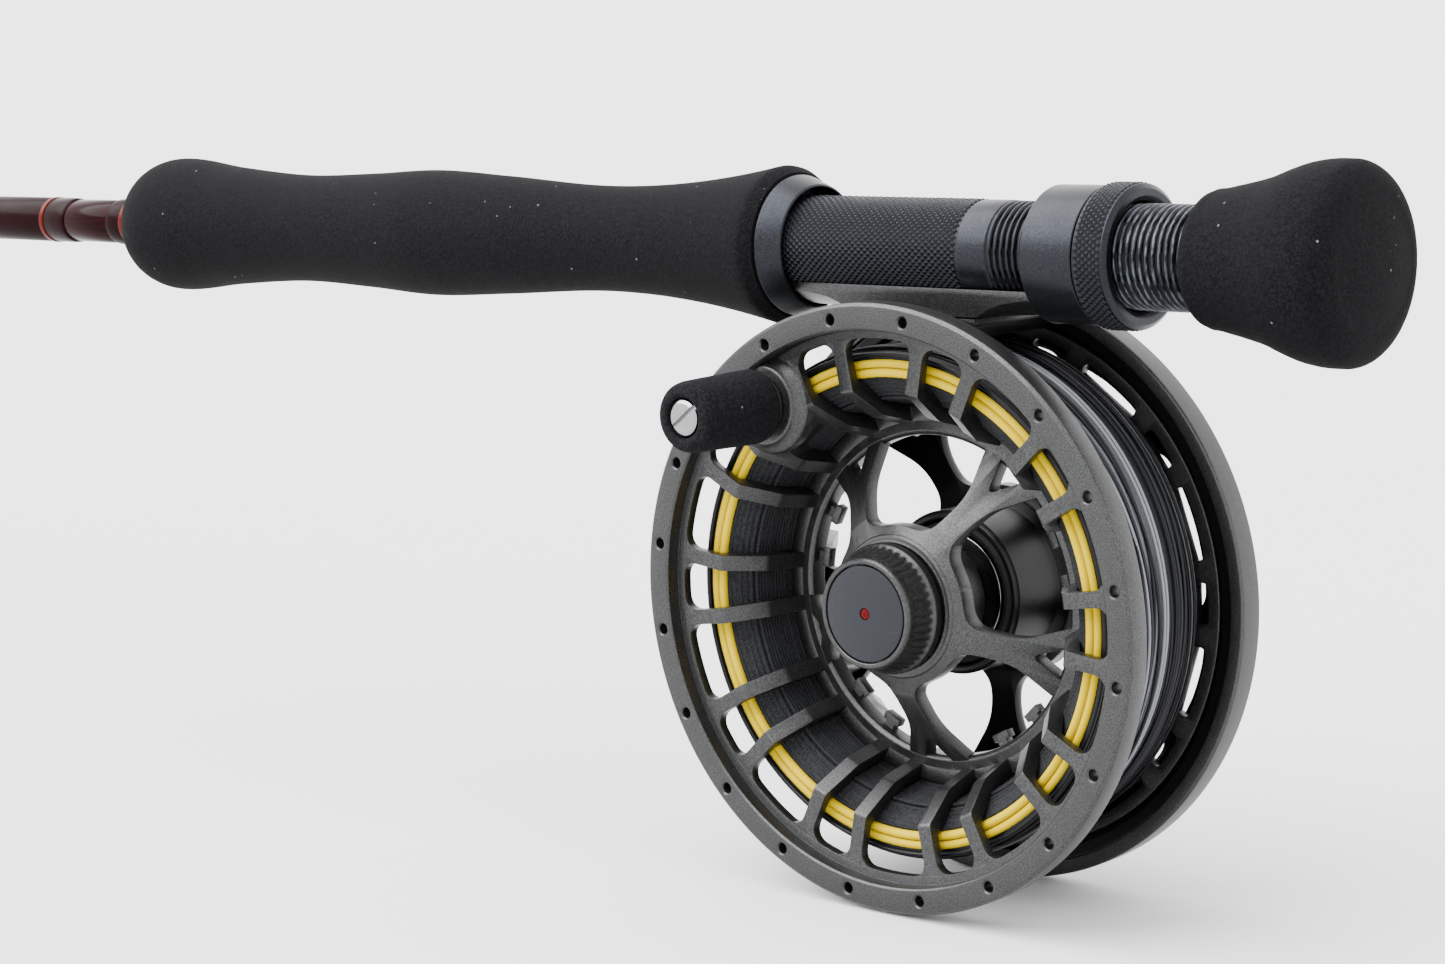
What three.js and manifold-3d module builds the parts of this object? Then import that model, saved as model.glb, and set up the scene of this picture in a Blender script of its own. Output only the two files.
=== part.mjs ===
// Butt section of a four-piece fly rod with a large-arbor fly reel in its seat.
// Millimetres. +X runs along the rod towards the fighting butt, +Z is up, and the crank is on the -Y side.
// The origin is on the rod's axis at the middle of the grip, where the hand holds it.
import * as THREE from 'three';
import { mergeVertices } from 'three/addons/utils/BufferGeometryUtils.js';
import Module from 'manifold-3d';

const wasm = await Module();
wasm.setup();

// ---------------------------------------------------------------- clearances
const GAP = 0.3; // between two pieces that touch
const FIT_GAP = 0.15; // between two coaxial turned pieces that are bonded

// ---------------------------------------------------------------- rod sizes
const TIP_X = -512; // ferrule end of the blank
const BLANK_TIP_R = 3.7;
const BLANK_GRIP_R = 4.68; // at the front of the grip
const BLANK_BUTT_R = 4.95; // inside the fighting butt
const BLANK_WALL = 1.0;
const WRAP_HEIGHT = 0.28; // how far a thread wrap stands above the blank
const WRAP_SEAT = 0.3; // how deep a wrap's first layer sits below the blank's finished surface
const TRIM_HEIGHT = 0.12; // how far a trim ring stands above its wrap
const TRIM_SEAT = 0.2;
const TRIM_WIDTH = 1.3;
const FERRULE_WRAP_LENGTH = 24;

const GRIP_LENGTH = 182;
const GRIP_NOSE_R = 13.95;
const GRIP_NOSE_LENGTH = 11;
const FRONT_WAIST_REACH = 50; // front end of the grip to its front waist
const FRONT_WAIST_R = 10.85;
const GRIP_SWELL = { x: -2, r: 12.3 };
const REAR_WAIST_REACH = 45; // rear waist to the rear end
const REAR_WAIST_R = 9.85;
const GRIP_LIP = 1.65; // how far the flare stands outside the fixed hood
const GRIP_FLARE_ROUND = 2.6;

const SEAT_R = 8.8; // reel-seat barrel
const SEAT_WALL = 1.4;
const SEAT_FRONT_INSET = 5; // barrel hidden in the grip
const SEAT_KNURL_LENGTH = 42;
const SEAT_BAND_LENGTH = 6;
const SEAT_THREAD_LENGTH = 38;
const THREAD_STEP = 0.2; // how far the thread's crests sit below the barrel
const SEAT_BAND_STEP = 0.1;
const SEAT_END_CHAMFER = 0.6;
const ARBOR_LENGTH = 22;
const ARBOR_INSET = 1; // barrel end to the arbor inside it

const FOOT_LENGTH = 62; // reel foot, tip to tip
const FOOT_TIP_THICK = 1.05;
const FOOT_HALF_WIDTH = 7;
const FOOT_SINK = 5; // how far each tip goes into its hood
const FOOT_WEB = 1.4; // metal between the reel's arm and the barrel
const FOOT_RAMP = 9; // thin part of each tip
const FOOT_PEDESTAL_FLARE = 3.6;
const HOOD_WALL = 0.9;
const HOOD_CHAMFER = 0.6;
const SLIDING_HOOD_WALL = 1.1;
const FIXED_HOOD_RIM = 2; // how far the fixed hood's rim stands outside its bore
const HOOD_LENGTH = 10.3;
const HOOD_WEB = 1.7;
const NUT_WALL = 2.95;
const NUT_LENGTH = 6.6;
const NUT_NECK = 2.7;
const NUT_NECK_WALL = 0.8;
const NUT_CHAMFER = 0.5;
const SNAP_RING_WIDTH = 0.8;

const BUTT_SHOULDER_R = 11.2;
const BUTT_WAIST = { dx: 9.3, r: 12.7 };
const BUTT_MAX = { dx: 23.7, r: 16.3 };
const BUTT_LENGTH = 30.7;
const BUTT_END_ROUND = 6.5;
const BUTT_FLAT_R = 4;

const GUIDE_X = -455; // stripping guide's ring
const GUIDE_DROP = 15; // rod axis to ring centre
const GUIDE_RING_R = 7.6;
const GUIDE_WIRE_R = 0.75;
const GUIDE_FOOT_REACH = 24; // ring to the end of each foot
const GUIDE_FOOT_LENGTH = 13;
const GUIDE_INSERT_THICK = 1.3;
const KEEPER_REACH_X = 31; // hook keeper to the grip
const KEEPER_HALF_LENGTH = 6;
const KEEPER_REACH = 4.2;
const KEEPER_WIRE_R = 0.45;

// ---------------------------------------------------------------- reel sizes, from the crank-side face
const PHASE = 0.6; // degrees the spool is turned at rest
const BAYS = 10; // pairs of ribs round the spool
const RIB_HALF_ANGLE = 7.25; // degrees from the middle of a narrow window to a rib

const RIM_R = 52.5;
const RIM_FACE_R = 47.8; // inside edge of the flat face
const RIM_STEP_R = 46.3; // inside edge of the step below it
const RIM_DEPTH = 4.6;
const RIM_STEP_Y = 2.9;
const RIM_HOLE_CIRCLE_R = 50;
const RIM_HOLE_R = 0.95;
const RIM_CHAMFER = 0.5;

const ARBOR_R = 30.6; // inside face of the arbor ribs at their deepest
const ARBOR_Y = 19; // middle of the arbor hoop
const ARBOR_KNEE = { r: 32.6, dy: 9 };
const ARBOR_SHOULDER_R = 37.2;
const RIB_THICK = 2.6;
const RIB_WIDTH = 2.9;
const HOOP_INNER_R = 28.2;
const HOOP_THICK = 3.6;
const TAB_DEPTH = 2.2;
const TAB_WIDTH = 3.2;

const REAR_FLANGE_R = 47.3;
const REAR_FLANGE_Y = 33.4;
const REAR_FLANGE_THICK = 1.8;
const REAR_SLOT_R = 44.05;
const REAR_SLOT_WIDTH = 2.3;

const HUB_R = 12.6;
const HUB_FRONT_Y = 5.4;
const HUB_RING_DEPTH = 3.4;
const HUB_BARREL_R = 10;
const HUB_END_Y = 18;
const HUB_BORE_R = 7.6;
const SPOKE_THICK = 3;
const SPOKE_WIDTH = 4.4;
const SPOKES = 5;
const SPOKE_PHASE = 54; // degrees, one spoke points straight down

const WINDING_FRONT_Y = 5.8;
const WINDING_REAR_Y = 33;
const BACKING_R = 40.6;
const BACKING_FRONT_Y = 9.6;
const LINE_R = 42.3;
const LEADER_R = 43.9;

const KNOB_CIRCLE_R = 42;
const KNOB_ANGLE = 126;
const KNOB_R = 6.5;
const KNOB_FRONT_R = 6.2;
const KNOB_LENGTH = 19;
const KNOB_BASE_Y = -0.4;
const BOSS_R = 7.4;
const POST_R = 2.2;
const POST_HEAD_R = 3.2;
const POST_HEAD_THICK = 1.3;
const BUSH_WALL = 1.2;
const WASHER_THICK = 0.7;

const CAP_FRONT_Y = -2.6;
const CAP_FRONT_R = 9.3;
const CAP_REAR_R = 11.3;
const CAP_SKIRT_Y = 4.4;
const CAP_DISC_R = 8.3;
const CAP_DISC_THICK = 0.9;
const CAP_DOT_R = 0.95;
const CAP_THREAD_DEPTH = 3.2;
const CAP_THREAD_WALL = 2;
const CAP_WALL = 1.6;
const CAP_ROOF_THICK = 1.4;

const FRAME_R = 52.9;
const FRAME_FRONT_Y = 32;
const FRAME_REAR_Y = 38;
const FRAME_INNER_R = 48.2;
const FRAME_STEP_R = 50.4;
const FRAME_STEP_DEPTH = 0.7;
const FRAME_CHAMFER = 0.9;
const WEB_FRONT_Y = 35.7;
const WEB_INNER_R = 43.4;
const FRAME_SPOKE_WIDTH = 5.2;
const ARM_INNER_R = 47.7;
const ARM_HALF_LENGTH = 13;
const ARM_FRONT_Y = 12;
const ARM_THICK = 1.5; // at its thinnest, over the middle of the spool
const FOOT_SCREW_PITCH = 14;
const FOOT_SCREW_R = 1.5;
const FOOT_SCREW_HEAD_R = 2.6;

const HOUSING_R = 14.5;
const HOUSING_BORE_R = 12.8;
const HOUSING_FRONT_Y = 21.2;
const SPINDLE_R = 3;
const SPINDLE_FRONT_Y = 0.4;
const DRAG_HUB_WALL = 2.1;
const DRAG_HUB_FLANGE_R = 10.6;
const DRAG_HUB_FRONT_Y = 7.4;
const DRAG_HUB_FLANGE_Y = 21.6;
const DRAG_DISC_R = 12.2;
const DRAG_DISC_CLEAR = 0.8; // drag hub to a fixed disc's bore
const DRAG_DISC_THICK = 1;
const BEARING_WIDTH = 3;
const DRAG_KNOB_R = 17;
const DRAG_KNOB_DEPTH = 8;
const DRAG_KNOB_ROUND = 1.4;
const DRAG_KNOB_LOBES = 10;
const DRAG_LOBE_DEPTH = 1.1;

// ---------------------------------------------------------------- facets round a turned piece
const RIM_FACETS = 40;
const WINDING_FACETS = 24;
const BARREL_FACETS = 16;
const ROD_FACETS = 12;
const SMALL_FACETS = 12;
const PIN_FACETS = 8;
const HOLE_FACETS = 6;
const LOBE_FACETS = 3;

// ---------------------------------------------------------------- derived places
const GRIP_REAR_X = GRIP_LENGTH / 2;
const GRIP_FRONT_X = -GRIP_LENGTH / 2;
const FOOT_INNER_R = SEAT_R + GAP;
const FOOT_TIP_R = FOOT_INNER_R + FOOT_TIP_THICK;
const HOOD_BORE_R = FOOT_TIP_R + GAP;
const HOOD_R = HOOD_BORE_R + SLIDING_HOOD_WALL;
const FIXED_HOOD_R = HOOD_BORE_R + FIXED_HOOD_RIM;
const GRIP_FLARE_R = FIXED_HOOD_R + GRIP_LIP;
const THREAD_R = SEAT_R - THREAD_STEP;
const NUT_R = SEAT_R + GAP + NUT_WALL;
const NUT_NECK_R = SEAT_R + GAP + NUT_NECK_WALL;
const FRONT_WAIST = { x: GRIP_FRONT_X + FRONT_WAIST_REACH, r: FRONT_WAIST_R };
const REAR_WAIST = { x: GRIP_REAR_X - REAR_WAIST_REACH, r: REAR_WAIST_R };
const KEEPER_X = GRIP_FRONT_X - KEEPER_REACH_X;
const ARM_TOP = ARM_INNER_R + ARM_THICK;
const FOOT_BASE = ARM_TOP + GAP;
const AXLE_X = GRIP_REAR_X + FOOT_LENGTH / 2; // the foot's front tip is level with the grip's rear end
const AXLE_DROP = FOOT_BASE + FOOT_WEB + FOOT_INNER_R; // rod axis to axle
const REEL_FACE_Y = -ARBOR_Y; // crank-side face of the rim, with the arbor's middle under the rod
const SEAT_FRONT_X = GRIP_REAR_X - SEAT_FRONT_INSET;
const FIXED_HOOD_END_X = AXLE_X - FOOT_LENGTH / 2 + FOOT_SINK;
const HOOD_X = AXLE_X + FOOT_LENGTH / 2 - FOOT_SINK;
const NUT_X = HOOD_X + HOOD_LENGTH + GAP;
const SEAT_BAND_X = FIXED_HOOD_END_X + SEAT_KNURL_LENGTH - FOOT_SINK;
const SEAT_THREAD_X = SEAT_BAND_X + SEAT_BAND_LENGTH;
const SEAT_END_X = SEAT_THREAD_X + SEAT_THREAD_LENGTH;
const BUTT_X = SEAT_END_X + GAP + 0.5;
const WALL_R = SEAT_R - SEAT_WALL;
const DRAG_HUB_R = SPINDLE_R + GAP + DRAG_HUB_WALL;
const DRAG_DISC_BORE_R = DRAG_HUB_R + DRAG_DISC_CLEAR;
const BOSS_END_Y = WINDING_FRONT_Y - GAP - 0.1;

const deg = THREE.MathUtils.degToRad;
const group = new THREE.Group();
const reel = new THREE.Group();
reel.position.set(AXLE_X, REEL_FACE_Y, -AXLE_DROP);
group.add(reel);

// ---------------------------------------------------------------- materials
function finish(color, roughness, metalness) {
  return () => new THREE.MeshStandardMaterial({ color, roughness, metalness });
}
const anodised = finish(0x5f6066, 0.42, 0.8);
const darkAnodised = finish(0x2c2d33, 0.38, 0.7);
const blackPlastic = finish(0x17171a, 0.55, 0.0);
const foam = finish(0x2a2a2d, 0.92, 0.0);
const gloss = finish(0x140a0c, 0.08, 0.0);
const thread = finish(0x0c0c0e, 0.15, 0.0);
const trim = finish(0xb5341c, 0.3, 0.2);
const steel = finish(0xb9bcc0, 0.3, 1.0);
const ceramic = finish(0x3a3d42, 0.15, 0.0);
const backingCord = finish(0x16171c, 0.8, 0.0);
const yellowLine = finish(0xe8cf3a, 0.45, 0.0);
const leaderLine = finish(0x33353d, 0.35, 0.0);
const carbon = finish(0x1b1c1e, 0.5, 0.2);
const rubber = finish(0x101011, 0.8, 0.0);
const redDot = finish(0xb02a34, 0.4, 0.0);

// ---------------------------------------------------------------- solids
// A closed geometry as a solid, with shared corners merged and its faces turned outwards.
function solid(geometry) {
  const bare = new THREE.BufferGeometry();
  bare.setAttribute('position', geometry.getAttribute('position'));
  if (geometry.index) bare.setIndex(geometry.index);
  const merged = mergeVertices(bare, 1e-4);
  const position = merged.getAttribute('position');
  const corners = [];
  let volume = 0;
  const a = new THREE.Vector3();
  const b = new THREE.Vector3();
  const c = new THREE.Vector3();
  for (let i = 0; i < merged.index.count; i += 3) {
    const t = [merged.index.getX(i), merged.index.getX(i + 1), merged.index.getX(i + 2)];
    if (t[0] === t[1] || t[1] === t[2] || t[2] === t[0]) continue;
    corners.push(t);
    a.fromBufferAttribute(position, t[0]);
    b.fromBufferAttribute(position, t[1]);
    c.fromBufferAttribute(position, t[2]);
    volume += a.dot(b.cross(c));
  }
  const turned = volume < 0 ? corners.map((t) => [t[0], t[2], t[1]]) : corners;
  return new wasm.Manifold(new wasm.Mesh({
    numProp: 3,
    vertProperties: new Float32Array(position.array),
    triVerts: new Uint32Array(turned.flat()),
  }));
}

function geometryOf(body) {
  const mesh = body.getMesh();
  const geometry = new THREE.BufferGeometry();
  geometry.setAttribute('position', new THREE.BufferAttribute(new Float32Array(mesh.vertProperties), 3));
  geometry.setIndex(new THREE.BufferAttribute(new Uint32Array(mesh.triVerts), 1));
  geometry.computeVertexNormals();
  return geometry;
}

function place(name, body, material, parent = group) {
  const mesh = new THREE.Mesh(geometryOf(body), material());
  mesh.name = name;
  parent.add(mesh);
  return mesh;
}

function union(bodies) {
  return bodies.reduce((sum, body) => sum.add(body));
}

// A closed outline of [radius, along] pairs turned about the reel's axle (Y).
function turnedY(outline, segments = SMALL_FACETS) {
  const points = outline.map(([r, y]) => new THREE.Vector2(r, y));
  if (outline[0][0] > 0 || outline[outline.length - 1][0] > 0) points.push(points[0].clone());
  return solid(new THREE.LatheGeometry(points, segments));
}

// The same outline turned about the rod's axis (X).
function turnedX(outline, segments = ROD_FACETS) {
  const points = outline.map(([r, x]) => new THREE.Vector2(r, x));
  if (outline[0][0] > 0 || outline[outline.length - 1][0] > 0) points.push(points[0].clone());
  return solid(new THREE.LatheGeometry(points, segments).rotateZ(-Math.PI / 2));
}

// A ring between two radii and two places along its axis.
function ring(inner, outer, from, to) {
  return [[outer, from], [outer, to], [inner, to], [inner, from]];
}

// A disc or shaft with no bore.
function rodOutline(outer, from, to) {
  return [[0, from], [outer, from], [outer, to], [0, to]];
}

// A flat outline in the reel's X-Z plane, extruded along Y between two depths.
function plate(shape, from, to, curveSegments = 2) {
  const geometry = new THREE.ExtrudeGeometry(shape, { depth: to - from, bevelEnabled: false, curveSegments });
  geometry.rotateX(Math.PI / 2);
  geometry.translate(0, to, 0);
  return solid(geometry);
}

function shapeOf(points) {
  return new THREE.Shape(points.map(([x, z]) => new THREE.Vector2(x, z)));
}

// A closed outline with its corners rounded.
function roundedShape(points, radius) {
  const corners = points.map(([x, z]) => new THREE.Vector2(x, z));
  const shape = new THREE.Shape();
  corners.forEach((corner, i) => {
    const before = corners[(i + corners.length - 1) % corners.length];
    const after = corners[(i + 1) % corners.length];
    const reach = Math.min(radius, corner.distanceTo(before) * 0.45, corner.distanceTo(after) * 0.45);
    const start = corner.clone().lerp(before, reach / corner.distanceTo(before));
    const end = corner.clone().lerp(after, reach / corner.distanceTo(after));
    if (i === 0) shape.moveTo(start.x, start.y);
    else shape.lineTo(start.x, start.y);
    shape.quadraticCurveTo(corner.x, corner.y, end.x, end.y);
  });
  shape.closePath();
  return shape;
}

function polar(r, angle) {
  return [r * Math.cos(deg(angle)), r * Math.sin(deg(angle))];
}

function tube(points, radius, steps, sides = 6) {
  const section = new THREE.Shape();
  section.absarc(0, 0, radius, 0, Math.PI * 2);
  const path = new THREE.CatmullRomCurve3(points.map((p) => new THREE.Vector3(...p)), false, 'centripetal');
  return solid(new THREE.ExtrudeGeometry(section, { steps, extrudePath: path, curveSegments: sides / 2 }));
}

// ---------------------------------------------------------------- rod: blank and wraps
const wraps = [
  { name: 'ferrule_wrap', from: TIP_X + 1, to: TIP_X + 1 + FERRULE_WRAP_LENGTH, trims: [3] },
  { name: 'guide_wrap_front', from: GUIDE_X - 30, to: GUIDE_X - 9, trims: [3] },
  { name: 'guide_wrap_rear', from: GUIDE_X + 9, to: GUIDE_X + 30, trims: [18] },
  { name: 'butt_wrap', from: GRIP_FRONT_X - 84, to: GRIP_FRONT_X - 27, trims: [4, 49] },
  { name: 'grip_wrap', from: GRIP_FRONT_X - 12, to: GRIP_FRONT_X - GAP, trims: [5.5] },
];

function blankRadius(x) {
  const toGrip = THREE.MathUtils.clamp((x - TIP_X) / (GRIP_FRONT_X - TIP_X), 0, 1);
  const toButt = THREE.MathUtils.clamp((x - GRIP_FRONT_X) / (BUTT_X - GRIP_FRONT_X), 0, 1);
  return BLANK_TIP_R + (BLANK_GRIP_R - BLANK_TIP_R) * toGrip + (BLANK_BUTT_R - BLANK_GRIP_R) * toButt;
}

function makeBlank() {
  const end = BUTT_X + BUTT_MAX.dx - 4;
  const outside = [[blankRadius(TIP_X), TIP_X]];
  for (const wrap of wraps) {
    outside.push([blankRadius(wrap.from), wrap.from - FIT_GAP]);
    outside.push([blankRadius(wrap.from) - WRAP_SEAT - FIT_GAP, wrap.from - FIT_GAP]);
    outside.push([blankRadius(wrap.to) - WRAP_SEAT - FIT_GAP, wrap.to + FIT_GAP]);
    outside.push([blankRadius(wrap.to), wrap.to + FIT_GAP]);
  }
  outside.push([blankRadius(end), end]);
  const inside = [[blankRadius(end) - BLANK_WALL, end], [blankRadius(TIP_X) - BLANK_WALL, TIP_X]];
  place('blank', turnedX([...outside, ...inside]), gloss);
}

function makeWraps() {
  for (const { name, from, to, trims } of wraps) {
    const height = (x) => blankRadius(x) + WRAP_HEIGHT;
    const inner = (x) => blankRadius(x) - WRAP_SEAT;
    const outline = [[inner(from), from], [height(from) - 0.15, from], [height(from), from + 0.6]];
    trims.forEach((offset, i) => {
      const at = from + offset;
      const groove = FIT_GAP + TRIM_WIDTH / 2;
      const low = height(at) - TRIM_SEAT - FIT_GAP;
      outline.push([height(at), at - groove], [low, at - groove]);
      outline.push([low, at + groove], [height(at), at + groove]);
      const half = TRIM_WIDTH / 2;
      const trimRing = ring(height(at) - TRIM_SEAT, height(at) + TRIM_HEIGHT, at - half, at + half);
      place(`${name}_trim_${i + 1}`, turnedX(trimRing), trim);
    });
    outline.push([height(to), to - 0.6], [height(to) - 0.15, to], [inner(to), to]);
    place(name, turnedX(outline), thread);
  }
}

// ---------------------------------------------------------------- rod: stripping guide and hook keeper
function makeGuide() {
  const top = blankRadius(GUIDE_X + GUIDE_FOOT_REACH) + WRAP_HEIGHT + TRIM_HEIGHT + GAP + GUIDE_WIRE_R;
  const foot = (side) => [
    [GUIDE_X + side * GUIDE_FOOT_REACH, 0, -top],
    [GUIDE_X + side * (GUIDE_FOOT_REACH - GUIDE_FOOT_LENGTH), 0, -top],
    [GUIDE_X + side * 6, 0, -top - 4.5],
    [GUIDE_X, 0, -GUIDE_DROP + GUIDE_RING_R],
  ];
  const torus = new THREE.TorusGeometry(GUIDE_RING_R, GUIDE_WIRE_R, 6, SMALL_FACETS);
  const ringFrame = solid(torus.rotateY(Math.PI / 2).translate(GUIDE_X, 0, -GUIDE_DROP));
  const legs = [-1, 1].map((side) => tube(foot(side), GUIDE_WIRE_R * 0.92, 12));
  place('stripping_guide', union([ringFrame, ...legs]), steel);
  const outer = GUIDE_RING_R - GUIDE_WIRE_R - GAP - FIT_GAP;
  const insert = turnedX([
    [outer, -0.9], [outer, 0.9], [outer - GUIDE_INSERT_THICK * 0.6, 1.2], [outer - GUIDE_INSERT_THICK, 0],
    [outer - GUIDE_INSERT_THICK * 0.6, -1.2],
  ], SMALL_FACETS);
  place('guide_ring_insert', insert.translate([GUIDE_X, 0, -GUIDE_DROP]), ceramic);
}

function makeHookKeeper() {
  const low = blankRadius(KEEPER_X) + WRAP_HEIGHT + TRIM_HEIGHT + GAP + KEEPER_WIRE_R;
  const wire = tube([
    [KEEPER_X - KEEPER_HALF_LENGTH, low, 0],
    [KEEPER_X - KEEPER_HALF_LENGTH / 2, low, 0],
    [KEEPER_X - 1.5, low + KEEPER_REACH, 0],
    [KEEPER_X + 1.5, low + KEEPER_REACH, 0],
    [KEEPER_X + KEEPER_HALF_LENGTH / 2, low, 0],
    [KEEPER_X + KEEPER_HALF_LENGTH, low, 0],
  ], KEEPER_WIRE_R, 16);
  place('hook_keeper', wire, steel);
}

// ---------------------------------------------------------------- rod: grip
// Radius eased from one station to the next, level at both ends.
function eased(from, to, x) {
  const t = (x - from.x) / (to.x - from.x);
  return from.r + (to.r - from.r) * (1 - Math.cos(Math.PI * t)) / 2;
}

function stations(from, to, count, radiusAt) {
  return Array.from({ length: count }, (_, i) => {
    const x = from + (to - from) * (i + 1) / count;
    return [radiusAt(x), x];
  });
}

function gripOutline() {
  const nose = { x: GRIP_FRONT_X + GRIP_NOSE_LENGTH, r: GRIP_NOSE_R };
  const flareX = GRIP_REAR_X - GRIP_FLARE_ROUND;
  const start = blankRadius(GRIP_FRONT_X) + GAP;
  const outline = [[start, GRIP_FRONT_X], [start + 0.6, GRIP_FRONT_X]];
  for (let i = 1; i <= 4; i += 1) {
    const turn = Math.PI / 2 * i / 4;
    const r = start + 0.6 + (nose.r - start - 0.6) * Math.sin(turn);
    outline.push([r, nose.x - GRIP_NOSE_LENGTH * Math.cos(turn)]);
  }
  outline.push(...stations(nose.x, FRONT_WAIST.x, 5, (x) => eased(nose, FRONT_WAIST, x)));
  outline.push(...stations(FRONT_WAIST.x, GRIP_SWELL.x, 4, (x) => eased(FRONT_WAIST, GRIP_SWELL, x)));
  outline.push(...stations(GRIP_SWELL.x, REAR_WAIST.x, 4, (x) => eased(GRIP_SWELL, REAR_WAIST, x)));
  const flare = (x) => {
    const t = (x - REAR_WAIST.x) / (flareX - REAR_WAIST.x);
    return REAR_WAIST.r + (GRIP_FLARE_R - REAR_WAIST.r) * t * t;
  };
  outline.push(...stations(REAR_WAIST.x, flareX, 5, flare));
  outline.push([GRIP_FLARE_R - 0.5, flareX + GRIP_FLARE_ROUND * 0.7], [FIXED_HOOD_R + 0.2, GRIP_REAR_X]);
  return outline;
}

function makeGrip() {
  const skirt = HOOD_BORE_R + HOOD_WALL + GAP;
  const floorX = GRIP_REAR_X - SEAT_FRONT_INSET - 2;
  const bore = [
    [skirt, GRIP_REAR_X], [skirt, floorX], [blankRadius(floorX) + GAP, floorX],
  ];
  place('grip', turnedX([...gripOutline(), ...bore], BARREL_FACETS), foam);
}

// ---------------------------------------------------------------- rod: reel seat
function makeSeat() {
  const bandR = THREAD_R + SEAT_BAND_STEP;
  place('seat_barrel', turnedX([
    [SEAT_R, SEAT_FRONT_X], [SEAT_R, SEAT_BAND_X], [bandR, SEAT_BAND_X], [bandR, SEAT_THREAD_X],
    [THREAD_R, SEAT_THREAD_X], [THREAD_R, SEAT_END_X - SEAT_END_CHAMFER],
    [THREAD_R - SEAT_END_CHAMFER, SEAT_END_X],
    [WALL_R, SEAT_END_X], [WALL_R, SEAT_FRONT_X],
  ], BARREL_FACETS), darkAnodised);
  const arborX = [SEAT_FRONT_X + ARBOR_INSET, SEAT_END_X - ARBOR_INSET - ARBOR_LENGTH];
  arborX.forEach((x, i) => {
    const inner = blankRadius(x + ARBOR_LENGTH) + FIT_GAP;
    const bore = turnedX(rodOutline(inner, x - 1, x + ARBOR_LENGTH + 1));
    const sleeve = turnedX(rodOutline(WALL_R - FIT_GAP, x, x + ARBOR_LENGTH), BARREL_FACETS);
    place(`seat_arbor_${i + 1}`, sleeve.subtract(bore), foam);
  });
}

function makeFixedHood() {
  const sleeve = HOOD_BORE_R + HOOD_WALL;
  const shoulderX = GRIP_REAR_X + GAP;
  const backX = SEAT_FRONT_X - 1.5;
  const pocketX = AXLE_X - FOOT_LENGTH / 2 - 1;
  place('fixed_hood', turnedX([
    [sleeve, backX], [sleeve, shoulderX], [FIXED_HOOD_R, shoulderX], [FIXED_HOOD_R, shoulderX + 0.4],
    [HOOD_BORE_R + 0.35, FIXED_HOOD_END_X], [HOOD_BORE_R, FIXED_HOOD_END_X],
    [HOOD_BORE_R, pocketX], [SEAT_R + GAP, pocketX], [SEAT_R + GAP, backX],
  ], BARREL_FACETS), darkAnodised);
}

function makeSlidingHood() {
  const end = HOOD_X + HOOD_LENGTH;
  const pocket = HOOD_X + FOOT_SINK + 0.6;
  const counterbore = NUT_NECK_R + 1;
  place('sliding_hood', turnedX([
    [HOOD_BORE_R, HOOD_X], [HOOD_R - HOOD_CHAMFER, HOOD_X], [HOOD_R, HOOD_X + HOOD_CHAMFER], [HOOD_R, end],
    [counterbore, end], [counterbore, pocket + HOOD_WEB],
    [SEAT_R + GAP, pocket + HOOD_WEB], [SEAT_R + GAP, pocket], [HOOD_BORE_R, pocket],
  ], BARREL_FACETS), darkAnodised);
  const ringX = end - NUT_NECK / 2 - SNAP_RING_WIDTH / 2;
  const snapRing = ring(NUT_NECK_R + GAP, counterbore - FIT_GAP, ringX, ringX + SNAP_RING_WIDTH);
  place('hood_snap_ring', turnedX(snapRing, BARREL_FACETS), steel);
}

function makeLockNut() {
  const end = NUT_X + NUT_LENGTH;
  const bore = SEAT_R + GAP;
  place('lock_nut', turnedX([
    [NUT_NECK_R, NUT_X - NUT_NECK], [NUT_NECK_R, NUT_X], [NUT_R - 0.4, NUT_X], [NUT_R, NUT_X + 0.4],
    [NUT_R, end - NUT_CHAMFER], [NUT_R - NUT_CHAMFER, end], [bore + 0.4, end], [bore, end - 0.4],
    [bore, NUT_X - NUT_NECK],
  ], BARREL_FACETS), darkAnodised);
}

// ---------------------------------------------------------------- rod: fighting butt
function makeButt() {
  const waist = { x: BUTT_X + BUTT_WAIST.dx, r: BUTT_WAIST.r };
  const widest = { x: BUTT_X + BUTT_MAX.dx, r: BUTT_MAX.r };
  const end = BUTT_X + BUTT_LENGTH;
  const bore = blankRadius(BUTT_X) + GAP;
  const boreEnd = widest.x - 4 + 1.5;
  const outline = [[bore, BUTT_X], [BUTT_SHOULDER_R - 1.6, BUTT_X], [BUTT_SHOULDER_R - 0.4, BUTT_X + 0.5]];
  outline.push([BUTT_SHOULDER_R, BUTT_X + 1.4]);
  outline.push(...stations(BUTT_X + 1.4, waist.x, 3, (x) => {
    const t = (x - BUTT_X - 1.4) / (waist.x - BUTT_X - 1.4);
    return BUTT_SHOULDER_R + (waist.r - BUTT_SHOULDER_R) * t * t;
  }));
  outline.push(...stations(waist.x, widest.x, 5, (x) => {
    const t = (x - waist.x) / (widest.x - waist.x);
    return waist.r + (widest.r - waist.r) * (0.45 * t + 0.55 * (1 - Math.cos(Math.PI * t)) / 2);
  }));
  outline.push([widest.r, end - BUTT_END_ROUND]);
  for (let i = 1; i <= 4; i += 1) {
    const turn = Math.PI / 2 * i / 4;
    const r = BUTT_FLAT_R + (widest.r - BUTT_FLAT_R) * Math.cos(turn);
    outline.push([r, end - BUTT_END_ROUND + BUTT_END_ROUND * Math.sin(turn)]);
  }
  outline.push([0, end], [0, boreEnd], [bore, boreEnd]);
  const points = outline.map(([r, x]) => new THREE.Vector2(r, x));
  points.push(points[0].clone());
  place('fighting_butt', solid(new THREE.LatheGeometry(points, BARREL_FACETS).rotateZ(-Math.PI / 2)), foam);
}

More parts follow.
